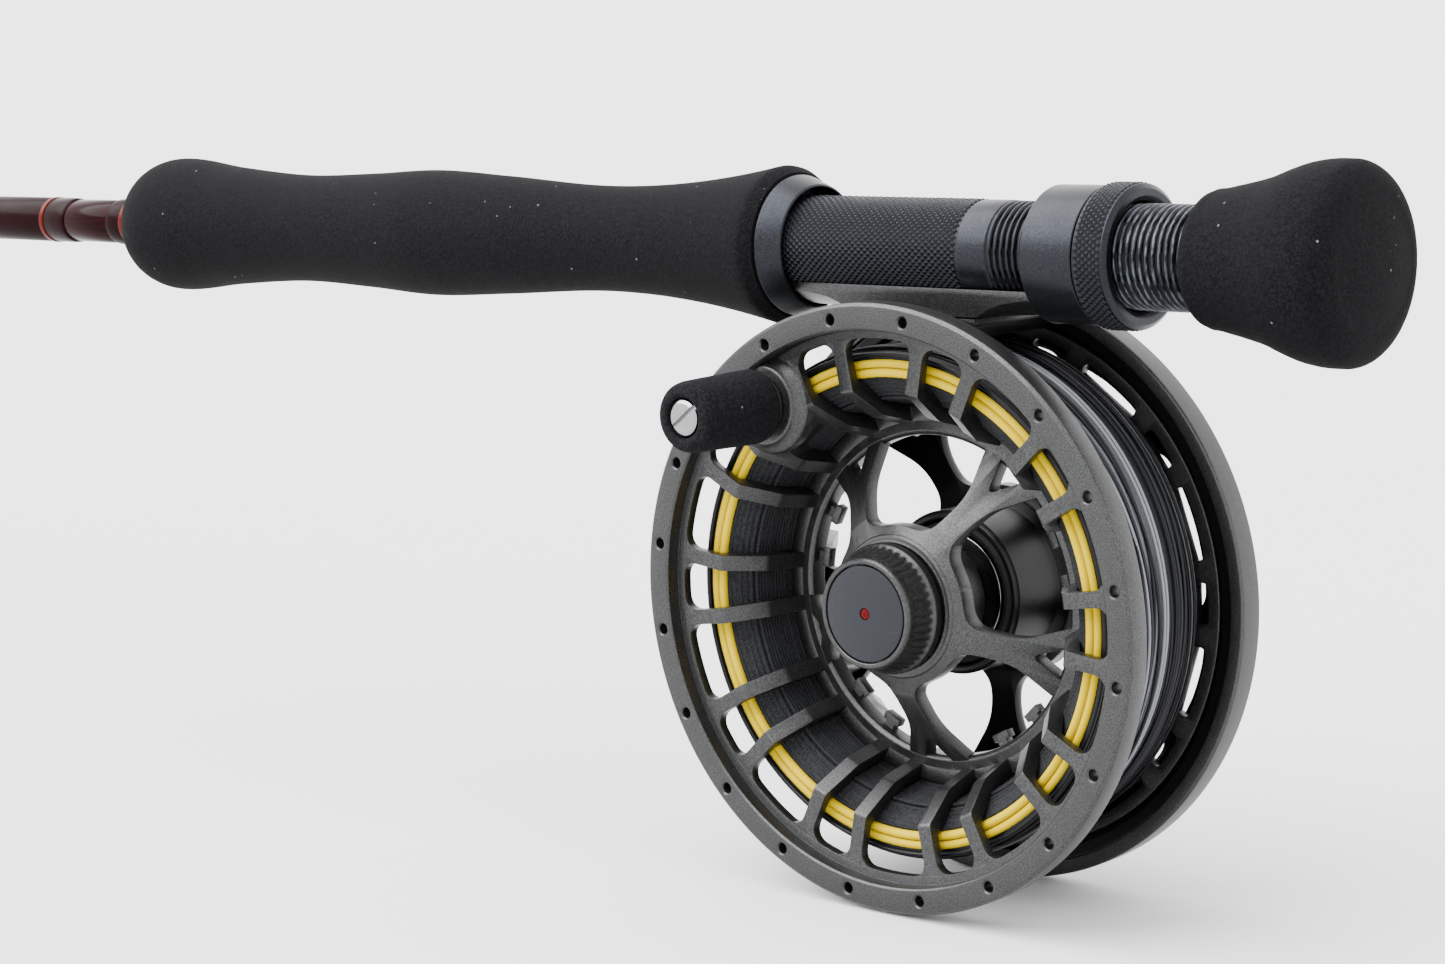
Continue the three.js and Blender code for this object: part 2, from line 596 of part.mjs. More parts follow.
// ---------------------------------------------------------------- reel: spool
const ribAngles = [];
for (let i = 0; i < BAYS; i += 1) {
  const middle = 360 / BAYS * i;
  ribAngles.push(middle - RIB_HALF_ANGLE + PHASE, middle + RIB_HALF_ANGLE + PHASE);
}
const frontY = RIM_STEP_Y + 0.1;

// The rib's inside face, then its outside face, as [radius, depth].
function ribOutline() {
  const kneeFront = ARBOR_Y - ARBOR_KNEE.dy;
  const kneeRear = ARBOR_Y + ARBOR_KNEE.dy;
  const flangeRear = REAR_FLANGE_Y + REAR_FLANGE_THICK - 0.2;
  return [
    [RIM_STEP_R + 0.6, frontY], [ARBOR_SHOULDER_R, frontY], [ARBOR_KNEE.r, kneeFront],
    [ARBOR_R, ARBOR_Y], [ARBOR_KNEE.r, kneeRear], [ARBOR_SHOULDER_R, flangeRear],
    [ARBOR_SHOULDER_R + RIB_THICK, flangeRear - RIB_THICK * 0.7], [ARBOR_KNEE.r + RIB_THICK, kneeRear - 0.6],
    [ARBOR_R + RIB_THICK, ARBOR_Y], [ARBOR_KNEE.r + RIB_THICK, kneeFront + 0.6],
    [ARBOR_SHOULDER_R + RIB_THICK * 0.8, frontY + RIB_THICK * 0.9],
    [RIM_STEP_R + 0.6, frontY + RIB_THICK * 0.8],
  ];
}

function sectorBlock(outline, width, angle) {
  const shape = shapeOf(outline);
  const geometry = new THREE.ExtrudeGeometry(shape, { depth: width, bevelEnabled: false });
  geometry.translate(0, 0, -width / 2);
  geometry.rotateY(-deg(angle));
  return solid(geometry);
}

function makeRim() {
  const rim = turnedY([
    [RIM_R - RIM_CHAMFER, 0], [RIM_R, RIM_CHAMFER], [RIM_R, RIM_DEPTH], [RIM_STEP_R, RIM_DEPTH],
    [RIM_STEP_R, RIM_STEP_Y], [RIM_FACE_R, RIM_STEP_Y], [RIM_FACE_R, 0],
  ], RIM_FACETS);
  const holes = [];
  for (let i = 0; i < BAYS * 2; i += 1) {
    const [x, z] = polar(RIM_HOLE_CIRCLE_R, 180 / BAYS * (i + 0.5) + PHASE);
    holes.push(turnedY(rodOutline(RIM_HOLE_R, -1, RIM_DEPTH + 1), HOLE_FACETS).translate([x, 0, z]));
  }
  return rim.subtract(union(holes));
}

// Windows of the five forked spokes, seen along the axle, for a web between two radii.
function spokeWindows(inner, split, outer, width, forkAngle, round) {
  const shapes = [];
  for (let i = 0; i < SPOKES; i += 1) {
    const here = 360 / SPOKES * i + SPOKE_PHASE;
    const next = here + 360 / SPOKES;
    const edge = (r) => THREE.MathUtils.radToDeg(Math.asin(width / 2 / r));
    shapes.push(roundedShape([
      polar(inner, here + edge(inner)), polar(split, here + edge(split)), polar(outer, here + forkAngle),
      polar(outer, (here + next) / 2), polar(outer, next - forkAngle), polar(split, next - edge(split)),
      polar(inner, next - edge(inner)), polar(inner, (here + next) / 2),
    ], round));
  }
  return shapes;
}

function makeSpokes() {
  const outerR = HOOP_INNER_R + 1.2;
  const slope = (ARBOR_Y - HOOP_THICK / 2 - HUB_FRONT_Y) / (outerR - HUB_R);
  const frontOf = (r) => HUB_FRONT_Y + (r - HUB_R) * slope;
  const cone = turnedY([
    [HUB_R - 1.5, frontOf(HUB_R - 1.5) + 0.8], [outerR, frontOf(outerR) + 0.3],
    [outerR, frontOf(outerR) + SPOKE_THICK + 0.3], [HUB_R - 1.5, frontOf(HUB_R - 1.5) + SPOKE_THICK + 0.8],
  ], WINDING_FACETS);
  const windows = spokeWindows(HUB_R + 1.2, HOOP_INNER_R - 6.5, HOOP_INNER_R + 2.4, SPOKE_WIDTH, 14, 3.2)
    .map((shape) => plate(shape, -5, ARBOR_Y + 10));
  const slits = [];
  for (let i = 0; i < SPOKES; i += 1) {
    const angle = 360 / SPOKES * i + SPOKE_PHASE;
    const fork = roundedShape([
      polar(HOOP_INNER_R - 3.4, angle),
      polar(HOOP_INNER_R + 2, angle - 7), polar(HOOP_INNER_R + 2, angle + 7),
    ], 0.8);
    slits.push(plate(fork, -5, ARBOR_Y + 10));
  }
  return cone.subtract(union([...windows, ...slits]));
}

function makeHoop() {
  const hoop = turnedY([
    [HOOP_INNER_R, ARBOR_Y - HOOP_THICK / 2], [ARBOR_R + 0.9, ARBOR_Y - HOOP_THICK / 2 + 0.6],
    [ARBOR_R + 0.9, ARBOR_Y + HOOP_THICK / 2], [HOOP_INNER_R, ARBOR_Y + HOOP_THICK / 2],
  ], WINDING_FACETS);
  const tabs = [];
  const tabRear = ARBOR_Y + HOOP_THICK / 2 - 0.2;
  for (let i = 0; i < SPOKES; i += 1) {
    for (const side of [-1, 1]) {
      const angle = 360 / SPOKES * (i + 0.5) + SPOKE_PHASE + side * 9;
      const tab = [
        [HOOP_INNER_R - TAB_DEPTH, ARBOR_Y], [HOOP_INNER_R + 0.5, ARBOR_Y],
        [HOOP_INNER_R + 0.5, tabRear], [HOOP_INNER_R - TAB_DEPTH, tabRear],
      ];
      tabs.push(sectorBlock(tab, TAB_WIDTH, angle));
    }
  }
  return union([hoop, ...tabs]);
}

function makeHub() {
  return turnedY([
    [HUB_R - 0.5, HUB_FRONT_Y], [HUB_R, HUB_FRONT_Y + 0.5], [HUB_R + 0.4, HUB_FRONT_Y + HUB_RING_DEPTH],
    [HUB_BARREL_R, HUB_FRONT_Y + HUB_RING_DEPTH + 1.6], [HUB_BARREL_R, HUB_END_Y], [HUB_BORE_R, HUB_END_Y],
    [HUB_BORE_R, HUB_FRONT_Y],
  ], BARREL_FACETS);
}

function makeRearFlange() {
  const end = REAR_FLANGE_Y + REAR_FLANGE_THICK;
  const flange = turnedY([
    [REAR_FLANGE_R, REAR_FLANGE_Y], [REAR_FLANGE_R, end],
    [ARBOR_SHOULDER_R, end], [ARBOR_SHOULDER_R, REAR_FLANGE_Y],
  ], RIM_FACETS);
  const slots = [];
  for (let i = 0; i < BAYS * 2; i += 1) {
    const middle = 180 / BAYS * i + PHASE;
    const half = i % 2 === 0 ? 3.8 : 6.6;
    const inner = REAR_SLOT_R - REAR_SLOT_WIDTH / 2;
    const outer = REAR_SLOT_R + REAR_SLOT_WIDTH / 2;
    slots.push(plate(shapeOf([
      polar(inner, middle - half), polar(outer, middle - half + 0.9), polar(outer, middle + half - 0.9),
      polar(inner, middle + half),
    ]), REAR_FLANGE_Y - 1, end + 1));
  }
  return flange.subtract(union(slots));
}

function makeBoss() {
  const [x, z] = polar(KNOB_CIRCLE_R, KNOB_ANGLE + PHASE);
  const top = KNOB_BASE_Y + GAP + WASHER_THICK + GAP;
  const post = turnedY(rodOutline(BOSS_R, top, BOSS_END_Y), SMALL_FACETS).translate([x, 0, z]);
  const half = 180 / BAYS - RIB_HALF_ANGLE;
  const skirt = [
    [RIM_STEP_R + 0.6, frontY], [ARBOR_SHOULDER_R, frontY], [ARBOR_KNEE.r + 1.8, ARBOR_Y - ARBOR_KNEE.dy - 3],
    [ARBOR_KNEE.r + 3.6, ARBOR_Y - ARBOR_KNEE.dy - 2], [ARBOR_SHOULDER_R + 2.4, frontY + 2.3],
    [RIM_STEP_R + 0.6, frontY + 2],
  ];
  const width = 2 * ARBOR_SHOULDER_R * Math.sin(deg(half));
  const threadHole = turnedY(rodOutline(POST_R + GAP, -2, RIM_DEPTH + 3), PIN_FACETS).translate([x, 0, z]);
  return { solid: union([post, sectorBlock(skirt, width, KNOB_ANGLE + PHASE)]), hole: threadHole };
}

function makeSpool() {
  const ribs = ribAngles.map((angle) => sectorBlock(ribOutline(), RIB_WIDTH, angle));
  const boss = makeBoss();
  const web = union([...ribs, boss.solid, makeSpokes(), makeHoop(), makeHub()]);
  const spool = union([makeRim(), web, makeRearFlange()]);
  place('spool', spool.subtract(boss.hole), anodised, reel);
}

function makeWindings() {
  const kneeFront = ARBOR_Y - ARBOR_KNEE.dy;
  const clear = RIB_THICK + 0.4;
  const rear = WINDING_REAR_Y - 0.6;
  place('backing_winding', turnedY([
    [BACKING_R, BACKING_FRONT_Y], [BACKING_R, rear], [ARBOR_SHOULDER_R + clear, rear],
    [ARBOR_KNEE.r + clear, ARBOR_Y + ARBOR_KNEE.dy - 1], [ARBOR_R + clear, ARBOR_Y],
    [ARBOR_KNEE.r + clear, kneeFront + 1],
  ], WINDING_FACETS), backingCord, reel);
  const line = ring(BACKING_R + GAP, LINE_R, WINDING_FRONT_Y, WINDING_REAR_Y);
  place('fly_line_winding', turnedY(line, WINDING_FACETS), yellowLine, reel);
  const leader = ring(LINE_R + GAP, LEADER_R, WINDING_FRONT_Y, WINDING_REAR_Y);
  place('leader_winding', turnedY(leader, WINDING_FACETS), leaderLine, reel);
}

// ---------------------------------------------------------------- reel: crank knob
function makeCrank() {
  const [x, z] = polar(KNOB_CIRCLE_R, KNOB_ANGLE + PHASE);
  const at = (body) => body.translate([x, 0, z]);
  const front = KNOB_BASE_Y - KNOB_LENGTH;
  const bushR = POST_R + GAP + BUSH_WALL;
  const headSeat = front + POST_HEAD_THICK + 0.5;
  place('crank_knob', at(turnedY([
    [KNOB_R - 0.8, KNOB_BASE_Y], [bushR + FIT_GAP, KNOB_BASE_Y], [bushR + FIT_GAP, headSeat],
    [POST_HEAD_R + GAP, headSeat], [POST_HEAD_R + GAP, front], [KNOB_FRONT_R - 1.4, front],
    [KNOB_FRONT_R - 0.4, front + 0.4], [KNOB_FRONT_R, front + 1.4], [(KNOB_FRONT_R + KNOB_R) / 2, front + 8],
    [KNOB_R, KNOB_BASE_Y - 1.2],
  ], SMALL_FACETS)), foam, reel);
  const bush = ring(POST_R + GAP, bushR, headSeat + 0.2, KNOB_BASE_Y - 0.1);
  place('knob_bush', at(turnedY(bush, SMALL_FACETS)), blackPlastic, reel);
  const washerY = KNOB_BASE_Y + GAP;
  const washer = ring(POST_R + GAP, KNOB_R - 1.2, washerY, washerY + WASHER_THICK);
  place('knob_washer', at(turnedY(washer, SMALL_FACETS)), steel, reel);
  const head = turnedY(rodOutline(POST_HEAD_R, front + 0.1, front + 0.1 + POST_HEAD_THICK), SMALL_FACETS);
  const shank = turnedY(rodOutline(POST_R, front + POST_HEAD_THICK - 0.2, BOSS_END_Y), PIN_FACETS);
  const slotShape = shapeOf([[-4, -0.4], [4, -0.4], [4, 0.4], [-4, 0.4]]);
  const slot = plate(slotShape, front - 1, front + 0.7).rotate([0, -38, 0]);
  place('knob_post_screw', at(head.add(shank).subtract(slot)), steel, reel);
}

// ---------------------------------------------------------------- reel: release cap
function makeCap() {
  const discSeat = CAP_FRONT_Y + CAP_DISC_THICK + 0.1;
  const inner = CAP_REAR_R - CAP_WALL;
  const threadR = SPINDLE_R + GAP + CAP_THREAD_WALL;
  const roof = discSeat + GAP + CAP_ROOF_THICK;
  place('release_cap', turnedY([
    [CAP_DISC_R + GAP, CAP_FRONT_Y], [CAP_FRONT_R, CAP_FRONT_Y], [CAP_FRONT_R + 0.3, CAP_FRONT_Y + 0.4],
    [CAP_REAR_R - 0.3, CAP_SKIRT_Y - 0.8], [CAP_REAR_R, CAP_SKIRT_Y - 0.6], [CAP_REAR_R, CAP_SKIRT_Y],
    [inner, CAP_SKIRT_Y], [inner, roof], [threadR, roof], [threadR, roof + CAP_THREAD_DEPTH],
    [SPINDLE_R + GAP, roof + CAP_THREAD_DEPTH], [SPINDLE_R + GAP, discSeat + GAP],
    [CAP_DISC_R + GAP, discSeat + GAP],
  ], BARREL_FACETS), anodised, reel);
  const recess = turnedY(rodOutline(CAP_DOT_R + 0.15, CAP_FRONT_Y - 1, CAP_FRONT_Y + 0.45), PIN_FACETS);
  const disc = turnedY(rodOutline(CAP_DISC_R, CAP_FRONT_Y + 0.1, discSeat), BARREL_FACETS);
  place('cap_disc', disc.subtract(recess), darkAnodised, reel);
  const dot = rodOutline(CAP_DOT_R, CAP_FRONT_Y + 0.1, CAP_FRONT_Y + 0.35);
  place('cap_dot', turnedY(dot, PIN_FACETS), redDot, reel);
  const ringY = CAP_SKIRT_Y - 1;
  const retainingRing = ring(threadR + GAP, inner - GAP, ringY, ringY + 0.8);
  place('cap_retaining_ring', turnedY(retainingRing, SMALL_FACETS), steel, reel);
}

// ---------------------------------------------------------------- reel: frame and foot
function makeFrame() {
  const webRear = FRAME_REAR_Y;
  const stepY = FRAME_FRONT_Y + FRAME_STEP_DEPTH;
  const frameRing = turnedY([
    [FRAME_R, FRAME_FRONT_Y + 0.3], [FRAME_R, webRear - FRAME_CHAMFER], [FRAME_R - FRAME_CHAMFER, webRear],
    [WEB_INNER_R, webRear], [WEB_INNER_R, WEB_FRONT_Y], [FRAME_INNER_R, WEB_FRONT_Y], [FRAME_INNER_R, stepY],
    [FRAME_STEP_R, stepY], [FRAME_STEP_R, FRAME_FRONT_Y], [FRAME_R - 0.3, FRAME_FRONT_Y],
  ], RIM_FACETS);
  const webRing = ring(HOUSING_BORE_R, WEB_INNER_R + 0.5, WEB_FRONT_Y + 0.2, webRear - 0.2);
  const web = turnedY(webRing, WINDING_FACETS);
  const windows = spokeWindows(HOUSING_R + 2.6, 24, WEB_INNER_R - 0.2, FRAME_SPOKE_WIDTH, 17, 4)
    .map((shape) => plate(shape, WEB_FRONT_Y - 2, webRear + 2));
  const forks = [];
  for (let i = 0; i < SPOKES; i += 1) {
    const angle = 360 / SPOKES * i + SPOKE_PHASE;
    forks.push(plate(roundedShape([
      polar(29, angle), polar(WEB_INNER_R - 0.2, angle - 11.5), polar(WEB_INNER_R, angle),
      polar(WEB_INNER_R - 0.2, angle + 11.5),
    ], 3), WEB_FRONT_Y - 2, webRear + 2));
  }
  const housing = turnedY([
    [HOUSING_R - 0.5, HOUSING_FRONT_Y], [HOUSING_R, HOUSING_FRONT_Y + 0.5], [HOUSING_R, WEB_FRONT_Y - 1.4],
    [HOUSING_R + 2, WEB_FRONT_Y + 0.4], [HOUSING_R + 2, webRear - 0.1], [SPINDLE_R + GAP, webRear - 0.1],
    [SPINDLE_R + GAP, WEB_FRONT_Y], [HOUSING_BORE_R, WEB_FRONT_Y], [HOUSING_BORE_R, HOUSING_FRONT_Y],
  ], BARREL_FACETS);
  const arm = plate(shapeOf(armOutline()), ARM_FRONT_Y, FRAME_FRONT_Y + 2);
  const screwHoles = footScrewX().map((x) => (
    turnedZ(FOOT_SCREW_R + GAP, ARM_INNER_R - 4, ARM_TOP + 2, PIN_FACETS, x)));
  const body = union([frameRing, web.subtract(union([...windows, ...forks])), housing, arm]);
  place('reel_frame', body.subtract(union(screwHoles)), anodised, reel);
}

// The arm that carries the foot: an arc below, flat on top.
function armOutline() {
  const half = THREE.MathUtils.radToDeg(Math.asin(ARM_HALF_LENGTH / ARM_INNER_R));
  const under = [];
  for (let i = 0; i <= 8; i += 1) under.push(polar(ARM_INNER_R, 90 + half - 2 * half * i / 8));
  return [...under, [ARM_HALF_LENGTH + 0.6, ARM_TOP - 1.2], [ARM_HALF_LENGTH + 0.2, ARM_TOP],
    [-ARM_HALF_LENGTH - 0.2, ARM_TOP], [-ARM_HALF_LENGTH - 0.6, ARM_TOP - 1.2]];
}

function footScrewX() {
  return [-FOOT_SCREW_PITCH / 2, FOOT_SCREW_PITCH / 2];
}

function footY() {
  return -REEL_FACE_Y;
}

function turnedZ(radius, from, to, segments, x) {
  const points = rodOutline(radius, from, to).map(([r, h]) => new THREE.Vector2(r, h));
  const shaft = new THREE.LatheGeometry(points, segments);
  return solid(shaft.rotateX(Math.PI / 2).translate(x, footY(), 0));
}

function makeFoot() {
  const half = FOOT_LENGTH / 2;
  const tip = AXLE_DROP - FOOT_TIP_R;
  const top = AXLE_DROP - SEAT_R * 0.55; // the saddle's edges, part of the way round the barrel
  const side = shapeOf([
    [-half, tip], [-half + FOOT_RAMP, tip], [-ARM_HALF_LENGTH - 1, FOOT_BASE],
    [ARM_HALF_LENGTH + 1, FOOT_BASE], [half - FOOT_RAMP, tip], [half, tip], [half, top], [-half, top],
  ]);
  const blank = plate(side, footY() - FOOT_HALF_WIDTH, footY() + FOOT_HALF_WIDTH);
  const onRod = (body) => body.translate([0, footY(), AXLE_DROP]);
  const seat = onRod(turnedX(rodOutline(FOOT_INNER_R, -half - 5, half + 5), BARREL_FACETS));
  const wing = [
    [FOOT_TIP_R + FOOT_PEDESTAL_FLARE, ARM_HALF_LENGTH - 0.4], [FOOT_TIP_R + 1.7, ARM_HALF_LENGTH + 1.8],
    [FOOT_TIP_R + 0.6, half - 12.5], [FOOT_TIP_R, half - 7.5], [FOOT_TIP_R, half - 1.5],
    [FOOT_TIP_R - 0.5, half],
  ];
  const mirrored = wing.map(([r, x]) => [r, -x]).reverse();
  const envelope = onRod(turnedX([[0, -half], ...mirrored, ...wing, [0, half]], BARREL_FACETS));
  const headSeat = FOOT_BASE + 0.5;
  const head = footScrewX().map((x) => turnedZ(FOOT_SCREW_HEAD_R + GAP, headSeat, AXLE_DROP, PIN_FACETS, x));
  const shank = footScrewX().map((x) => turnedZ(FOOT_SCREW_R + GAP, FOOT_BASE - 3, AXLE_DROP, PIN_FACETS, x));
  const foot = blank.intersect(envelope).subtract(seat).subtract(union([...head, ...shank]));
  place('reel_foot', foot, anodised, reel);
  footScrewX().forEach((x, i) => {
    const screwHead = turnedZ(FOOT_SCREW_HEAD_R, headSeat + FIT_GAP, headSeat + FIT_GAP + 0.6, PIN_FACETS, x);
    const screwShank = turnedZ(FOOT_SCREW_R, ARM_INNER_R, headSeat + FIT_GAP + 0.3, PIN_FACETS, x);
    place(`foot_screw_${i + 1}`, screwHead.add(screwShank), steel, reel);
  });
}

// ---------------------------------------------------------------- reel: spindle, clutch and drag
function makeSpindle() {
  const knobEnd = FRAME_REAR_Y + GAP + DRAG_KNOB_DEPTH;
  place('spindle', turnedY([
    [0, SPINDLE_FRONT_Y], [SPINDLE_R - 0.5, SPINDLE_FRONT_Y], [SPINDLE_R, SPINDLE_FRONT_Y + 0.5],
    [SPINDLE_R, knobEnd - 2], [0, knobEnd - 2],
  ], SMALL_FACETS), steel, reel);
}

function makeDragHub() {
  const flangeEnd = DRAG_HUB_FLANGE_Y + 2;
  place('drag_hub', turnedY([
    [DRAG_HUB_R, DRAG_HUB_FRONT_Y], [DRAG_HUB_R, DRAG_HUB_FLANGE_Y], [DRAG_HUB_FLANGE_R, DRAG_HUB_FLANGE_Y],
    [DRAG_HUB_FLANGE_R, flangeEnd], [DRAG_HUB_R, flangeEnd], [DRAG_HUB_R, WEB_FRONT_Y - GAP],
    [SPINDLE_R + GAP, WEB_FRONT_Y - GAP], [SPINDLE_R + GAP, DRAG_HUB_FRONT_Y],
  ], SMALL_FACETS), steel, reel);
  const seal = turnedY([
    [DRAG_HUB_FLANGE_R + 0.2, DRAG_HUB_FLANGE_Y + 0.6], [DRAG_HUB_FLANGE_R + 1.1, DRAG_HUB_FLANGE_Y + 0.1],
    [HOUSING_BORE_R - 0.2, DRAG_HUB_FLANGE_Y + 0.6], [HOUSING_BORE_R - 0.2, DRAG_HUB_FLANGE_Y + 1.4],
    [DRAG_HUB_FLANGE_R + 1.1, DRAG_HUB_FLANGE_Y + 1.9], [DRAG_HUB_FLANGE_R + 0.2, DRAG_HUB_FLANGE_Y + 1.4],
  ], BARREL_FACETS);
  place('housing_seal', seal, rubber, reel);
}

function makeClutch() {
  const inner = DRAG_HUB_R + GAP;
  const outer = HUB_BORE_R - FIT_GAP;
  const rear = HUB_END_Y - BEARING_WIDTH;
  const front = DRAG_HUB_FRONT_Y + 0.4;
  const sleeve = (start, end) => turnedY(ring(inner, outer, start, end), SMALL_FACETS);
  place('hub_bearing_front', sleeve(front, front + BEARING_WIDTH), steel, reel);
  place('one_way_clutch', sleeve(front + BEARING_WIDTH + GAP, rear - GAP), blackPlastic, reel);
  place('hub_bearing_rear', sleeve(rear, HUB_END_Y), steel, reel);
}

function makeDragStack() {
  const step = DRAG_DISC_THICK + GAP;
  const last = WEB_FRONT_Y - GAP - DRAG_DISC_THICK;
  for (let i = 0; i < 3; i += 1) {
    const y = last - 2 * i * step;
    const disc = ring(DRAG_DISC_BORE_R, DRAG_DISC_R, y, y + DRAG_DISC_THICK);
    place(`drag_disc_${i + 1}`, turnedY(disc, SMALL_FACETS), carbon, reel);
  }
  for (let i = 0; i < 2; i += 1) {
    const y = last - (2 * i + 1) * step;
    const plateRing = ring(DRAG_HUB_R + FIT_GAP, DRAG_DISC_R - 0.4, y, y + DRAG_DISC_THICK);
    place(`drag_plate_${i + 1}`, turnedY(plateRing, SMALL_FACETS), steel, reel);
  }
  const springY = last - 5 * step - 1;
  place('drag_spring', turnedY([
    [DRAG_DISC_BORE_R, springY], [DRAG_DISC_BORE_R, springY + 0.7], [DRAG_DISC_R - 1, springY + 2],
    [DRAG_DISC_R - 1, springY + 1.3],
  ], SMALL_FACETS), steel, reel);
}

function makeDragKnob() {
  const front = FRAME_REAR_Y + GAP;
  const rear = front + DRAG_KNOB_DEPTH;
  const outline = [];
  for (let i = 0; i < DRAG_KNOB_LOBES * LOBE_FACETS; i += 1) {
    const angle = 360 * i / (DRAG_KNOB_LOBES * LOBE_FACETS);
    const dip = DRAG_LOBE_DEPTH * (1 - Math.cos(deg(angle * DRAG_KNOB_LOBES))) / 2;
    outline.push(polar(DRAG_KNOB_R - dip, angle));
  }
  const lobes = plate(shapeOf(outline), front, rear);
  const envelope = turnedY([
    [0, front], [DRAG_KNOB_R - 1, front], [DRAG_KNOB_R + 0.2, front + 1],
    [DRAG_KNOB_R + 0.2, rear - DRAG_KNOB_ROUND], [DRAG_KNOB_R - DRAG_KNOB_ROUND, rear], [0, rear],
  ], BARREL_FACETS);
  const bore = turnedY(rodOutline(SPINDLE_R + GAP, front - 1, rear - 1.5), SMALL_FACETS);
  place('drag_knob', lobes.intersect(envelope).subtract(bore), darkAnodised, reel);
}

// ---------------------------------------------------------------- assembly
makeBlank();
makeWraps();
makeGuide();
makeHookKeeper();
makeGrip();
makeSeat();
makeFixedHood();
makeSlidingHood();
makeLockNut();
makeButt();
makeSpool();
makeWindings();
makeCrank();
makeCap();
makeFrame();
makeFoot();
makeSpindle();
makeDragHub();
makeClutch();
makeDragStack();
makeDragKnob();

export default group;
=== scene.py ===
"""Fine surfaces of a fly rod's butt section and its reel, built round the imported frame."""
import math

import bmesh
import bpy
from bpy.props import FloatProperty, FloatVectorProperty, IntProperty
from mathutils import Matrix, Vector


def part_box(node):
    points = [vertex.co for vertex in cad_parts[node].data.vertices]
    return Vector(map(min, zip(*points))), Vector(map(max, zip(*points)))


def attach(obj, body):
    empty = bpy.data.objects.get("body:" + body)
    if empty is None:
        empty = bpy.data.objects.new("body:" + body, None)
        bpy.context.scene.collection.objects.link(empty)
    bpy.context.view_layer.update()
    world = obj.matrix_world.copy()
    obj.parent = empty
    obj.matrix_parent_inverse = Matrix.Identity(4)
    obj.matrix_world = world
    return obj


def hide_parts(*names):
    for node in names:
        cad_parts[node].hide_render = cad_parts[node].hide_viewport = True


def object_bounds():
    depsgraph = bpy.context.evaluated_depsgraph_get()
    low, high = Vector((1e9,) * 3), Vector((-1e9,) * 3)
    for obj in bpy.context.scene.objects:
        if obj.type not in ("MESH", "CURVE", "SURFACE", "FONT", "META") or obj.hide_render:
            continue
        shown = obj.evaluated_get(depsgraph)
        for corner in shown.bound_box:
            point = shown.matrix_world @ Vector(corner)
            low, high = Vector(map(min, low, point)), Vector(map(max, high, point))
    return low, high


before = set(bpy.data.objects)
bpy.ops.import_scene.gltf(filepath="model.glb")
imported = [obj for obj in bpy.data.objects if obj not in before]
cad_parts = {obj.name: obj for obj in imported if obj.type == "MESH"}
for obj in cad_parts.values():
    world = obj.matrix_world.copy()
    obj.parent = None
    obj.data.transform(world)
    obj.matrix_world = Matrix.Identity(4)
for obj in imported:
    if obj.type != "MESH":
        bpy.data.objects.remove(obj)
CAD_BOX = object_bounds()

bl_info = {
    "name": "Fly rod and reel",
    "version": (1, 0, 0),
    "blender": (4, 5, 0),
    "location": "View3D > Sidebar > Rod",
    "description": "Builds the finished pieces of a fly rod's butt section and its reel",
    "category": "Object",
}

MM = 0.001
IMAGE_WIDTH = 1445
SENSOR_WIDTH = 36.0

# The reel's own axes start where its axle meets the spool's front face.
SPOOL_LOW, SPOOL_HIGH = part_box("spool")
REEL_ORIGIN = Vector(((SPOOL_LOW.x + SPOOL_HIGH.x) / 2, SPOOL_LOW.y,
                      (SPOOL_LOW.z + SPOOL_HIGH.z) / 2))
AXLE_DROP = -REEL_ORIGIN.z / MM
ROD_Y = -REEL_ORIGIN.y / MM  # the rod's axis, from the spool's front face

# Spool sizes in millimetres, from the axle and from the front face.
PHASE = 0.6
BAYS = 10
RIB_ANGLE = 7.25
RIM_R = (SPOOL_HIGH.x - SPOOL_LOW.x) / 2 / MM
RIM_DEPTH = 4.6
RIM_FACE_R = 47.8
RIM_STEP_R = 46.3
RIM_STEP_Y = 2.9
HOLE_CIRCLE_R = 50.0
HOLE_R = 0.95
ARBOR_Y = 19.0
ARBOR_R = 30.6
KNEE_R = 32.6
KNEE_REACH = 9.0
SHOULDER_R = 37.2
RIB_THICK = 2.6
RIB_WIDTH = 2.8
HOOP_INNER_R = 28.2
HOOP_THICK = 3.6
REAR_FLANGE_R = 47.3
REAR_FLANGE_Y = 33.4
REAR_FLANGE_THICK = 1.8
SLOT_R = 44.05
SLOT_WIDTH = 2.3
HUB_R = 12.6
HUB_FRONT_Y = 5.4
HUB_BARREL_R = 10.0
HUB_END_Y = 18.0
HUB_BORE_R = 7.6
SPOKES = 5
SPOKE_PHASE = 54.0
SPOKE_WIDTH = 4.4
SPOKE_THICK = 3.0

# Crank, cap and frame sizes in millimetres.
KNOB_ANGLE = 126.0 + PHASE
BOSS_R = 7.4
POST_R = 2.2
FRAME_R = 52.9
FRAME_FRONT_Y = 32.0
FRAME_REAR_Y = 38.0
FRAME_INNER_R = 48.2
WEB_FRONT_Y = 35.7
WEB_INNER_R = 43.4
HOUSING_R = 14.5
HOUSING_BORE_R = 12.8
HOUSING_FRONT_Y = 21.2
ARM_INNER_R = 47.7
ARM_THICK = 1.5
ARM_HALF_LENGTH = 13.0
ARM_FRONT_Y = 12.0
SPINDLE_R = 3.0
GAP = 0.3
KNOB_CIRCLE_R = 42.0  # the crank knob's post, from the axle
FRAME_STEP_R = 50.4
FOOT_SCREWS_X = (-7.0, 7.0)
FOOT_SCREW_HOLE_R = 1.8
BEARING_BORE_R = 5.7
DISC_BORE_R = 6.2
PLATE_BORE_R = 5.55
CORE_R = 5.4  # the drag hub's barrel
CORE_FLANGE_Y = 21.6
DIAL_LOBES = 10
SCREW_SLOT_TURN = -38  # degrees
BACKING_INNER_R = 33.75
BACKING_FRONT_Y = 6.5
LINE_INNER_R = 40.1
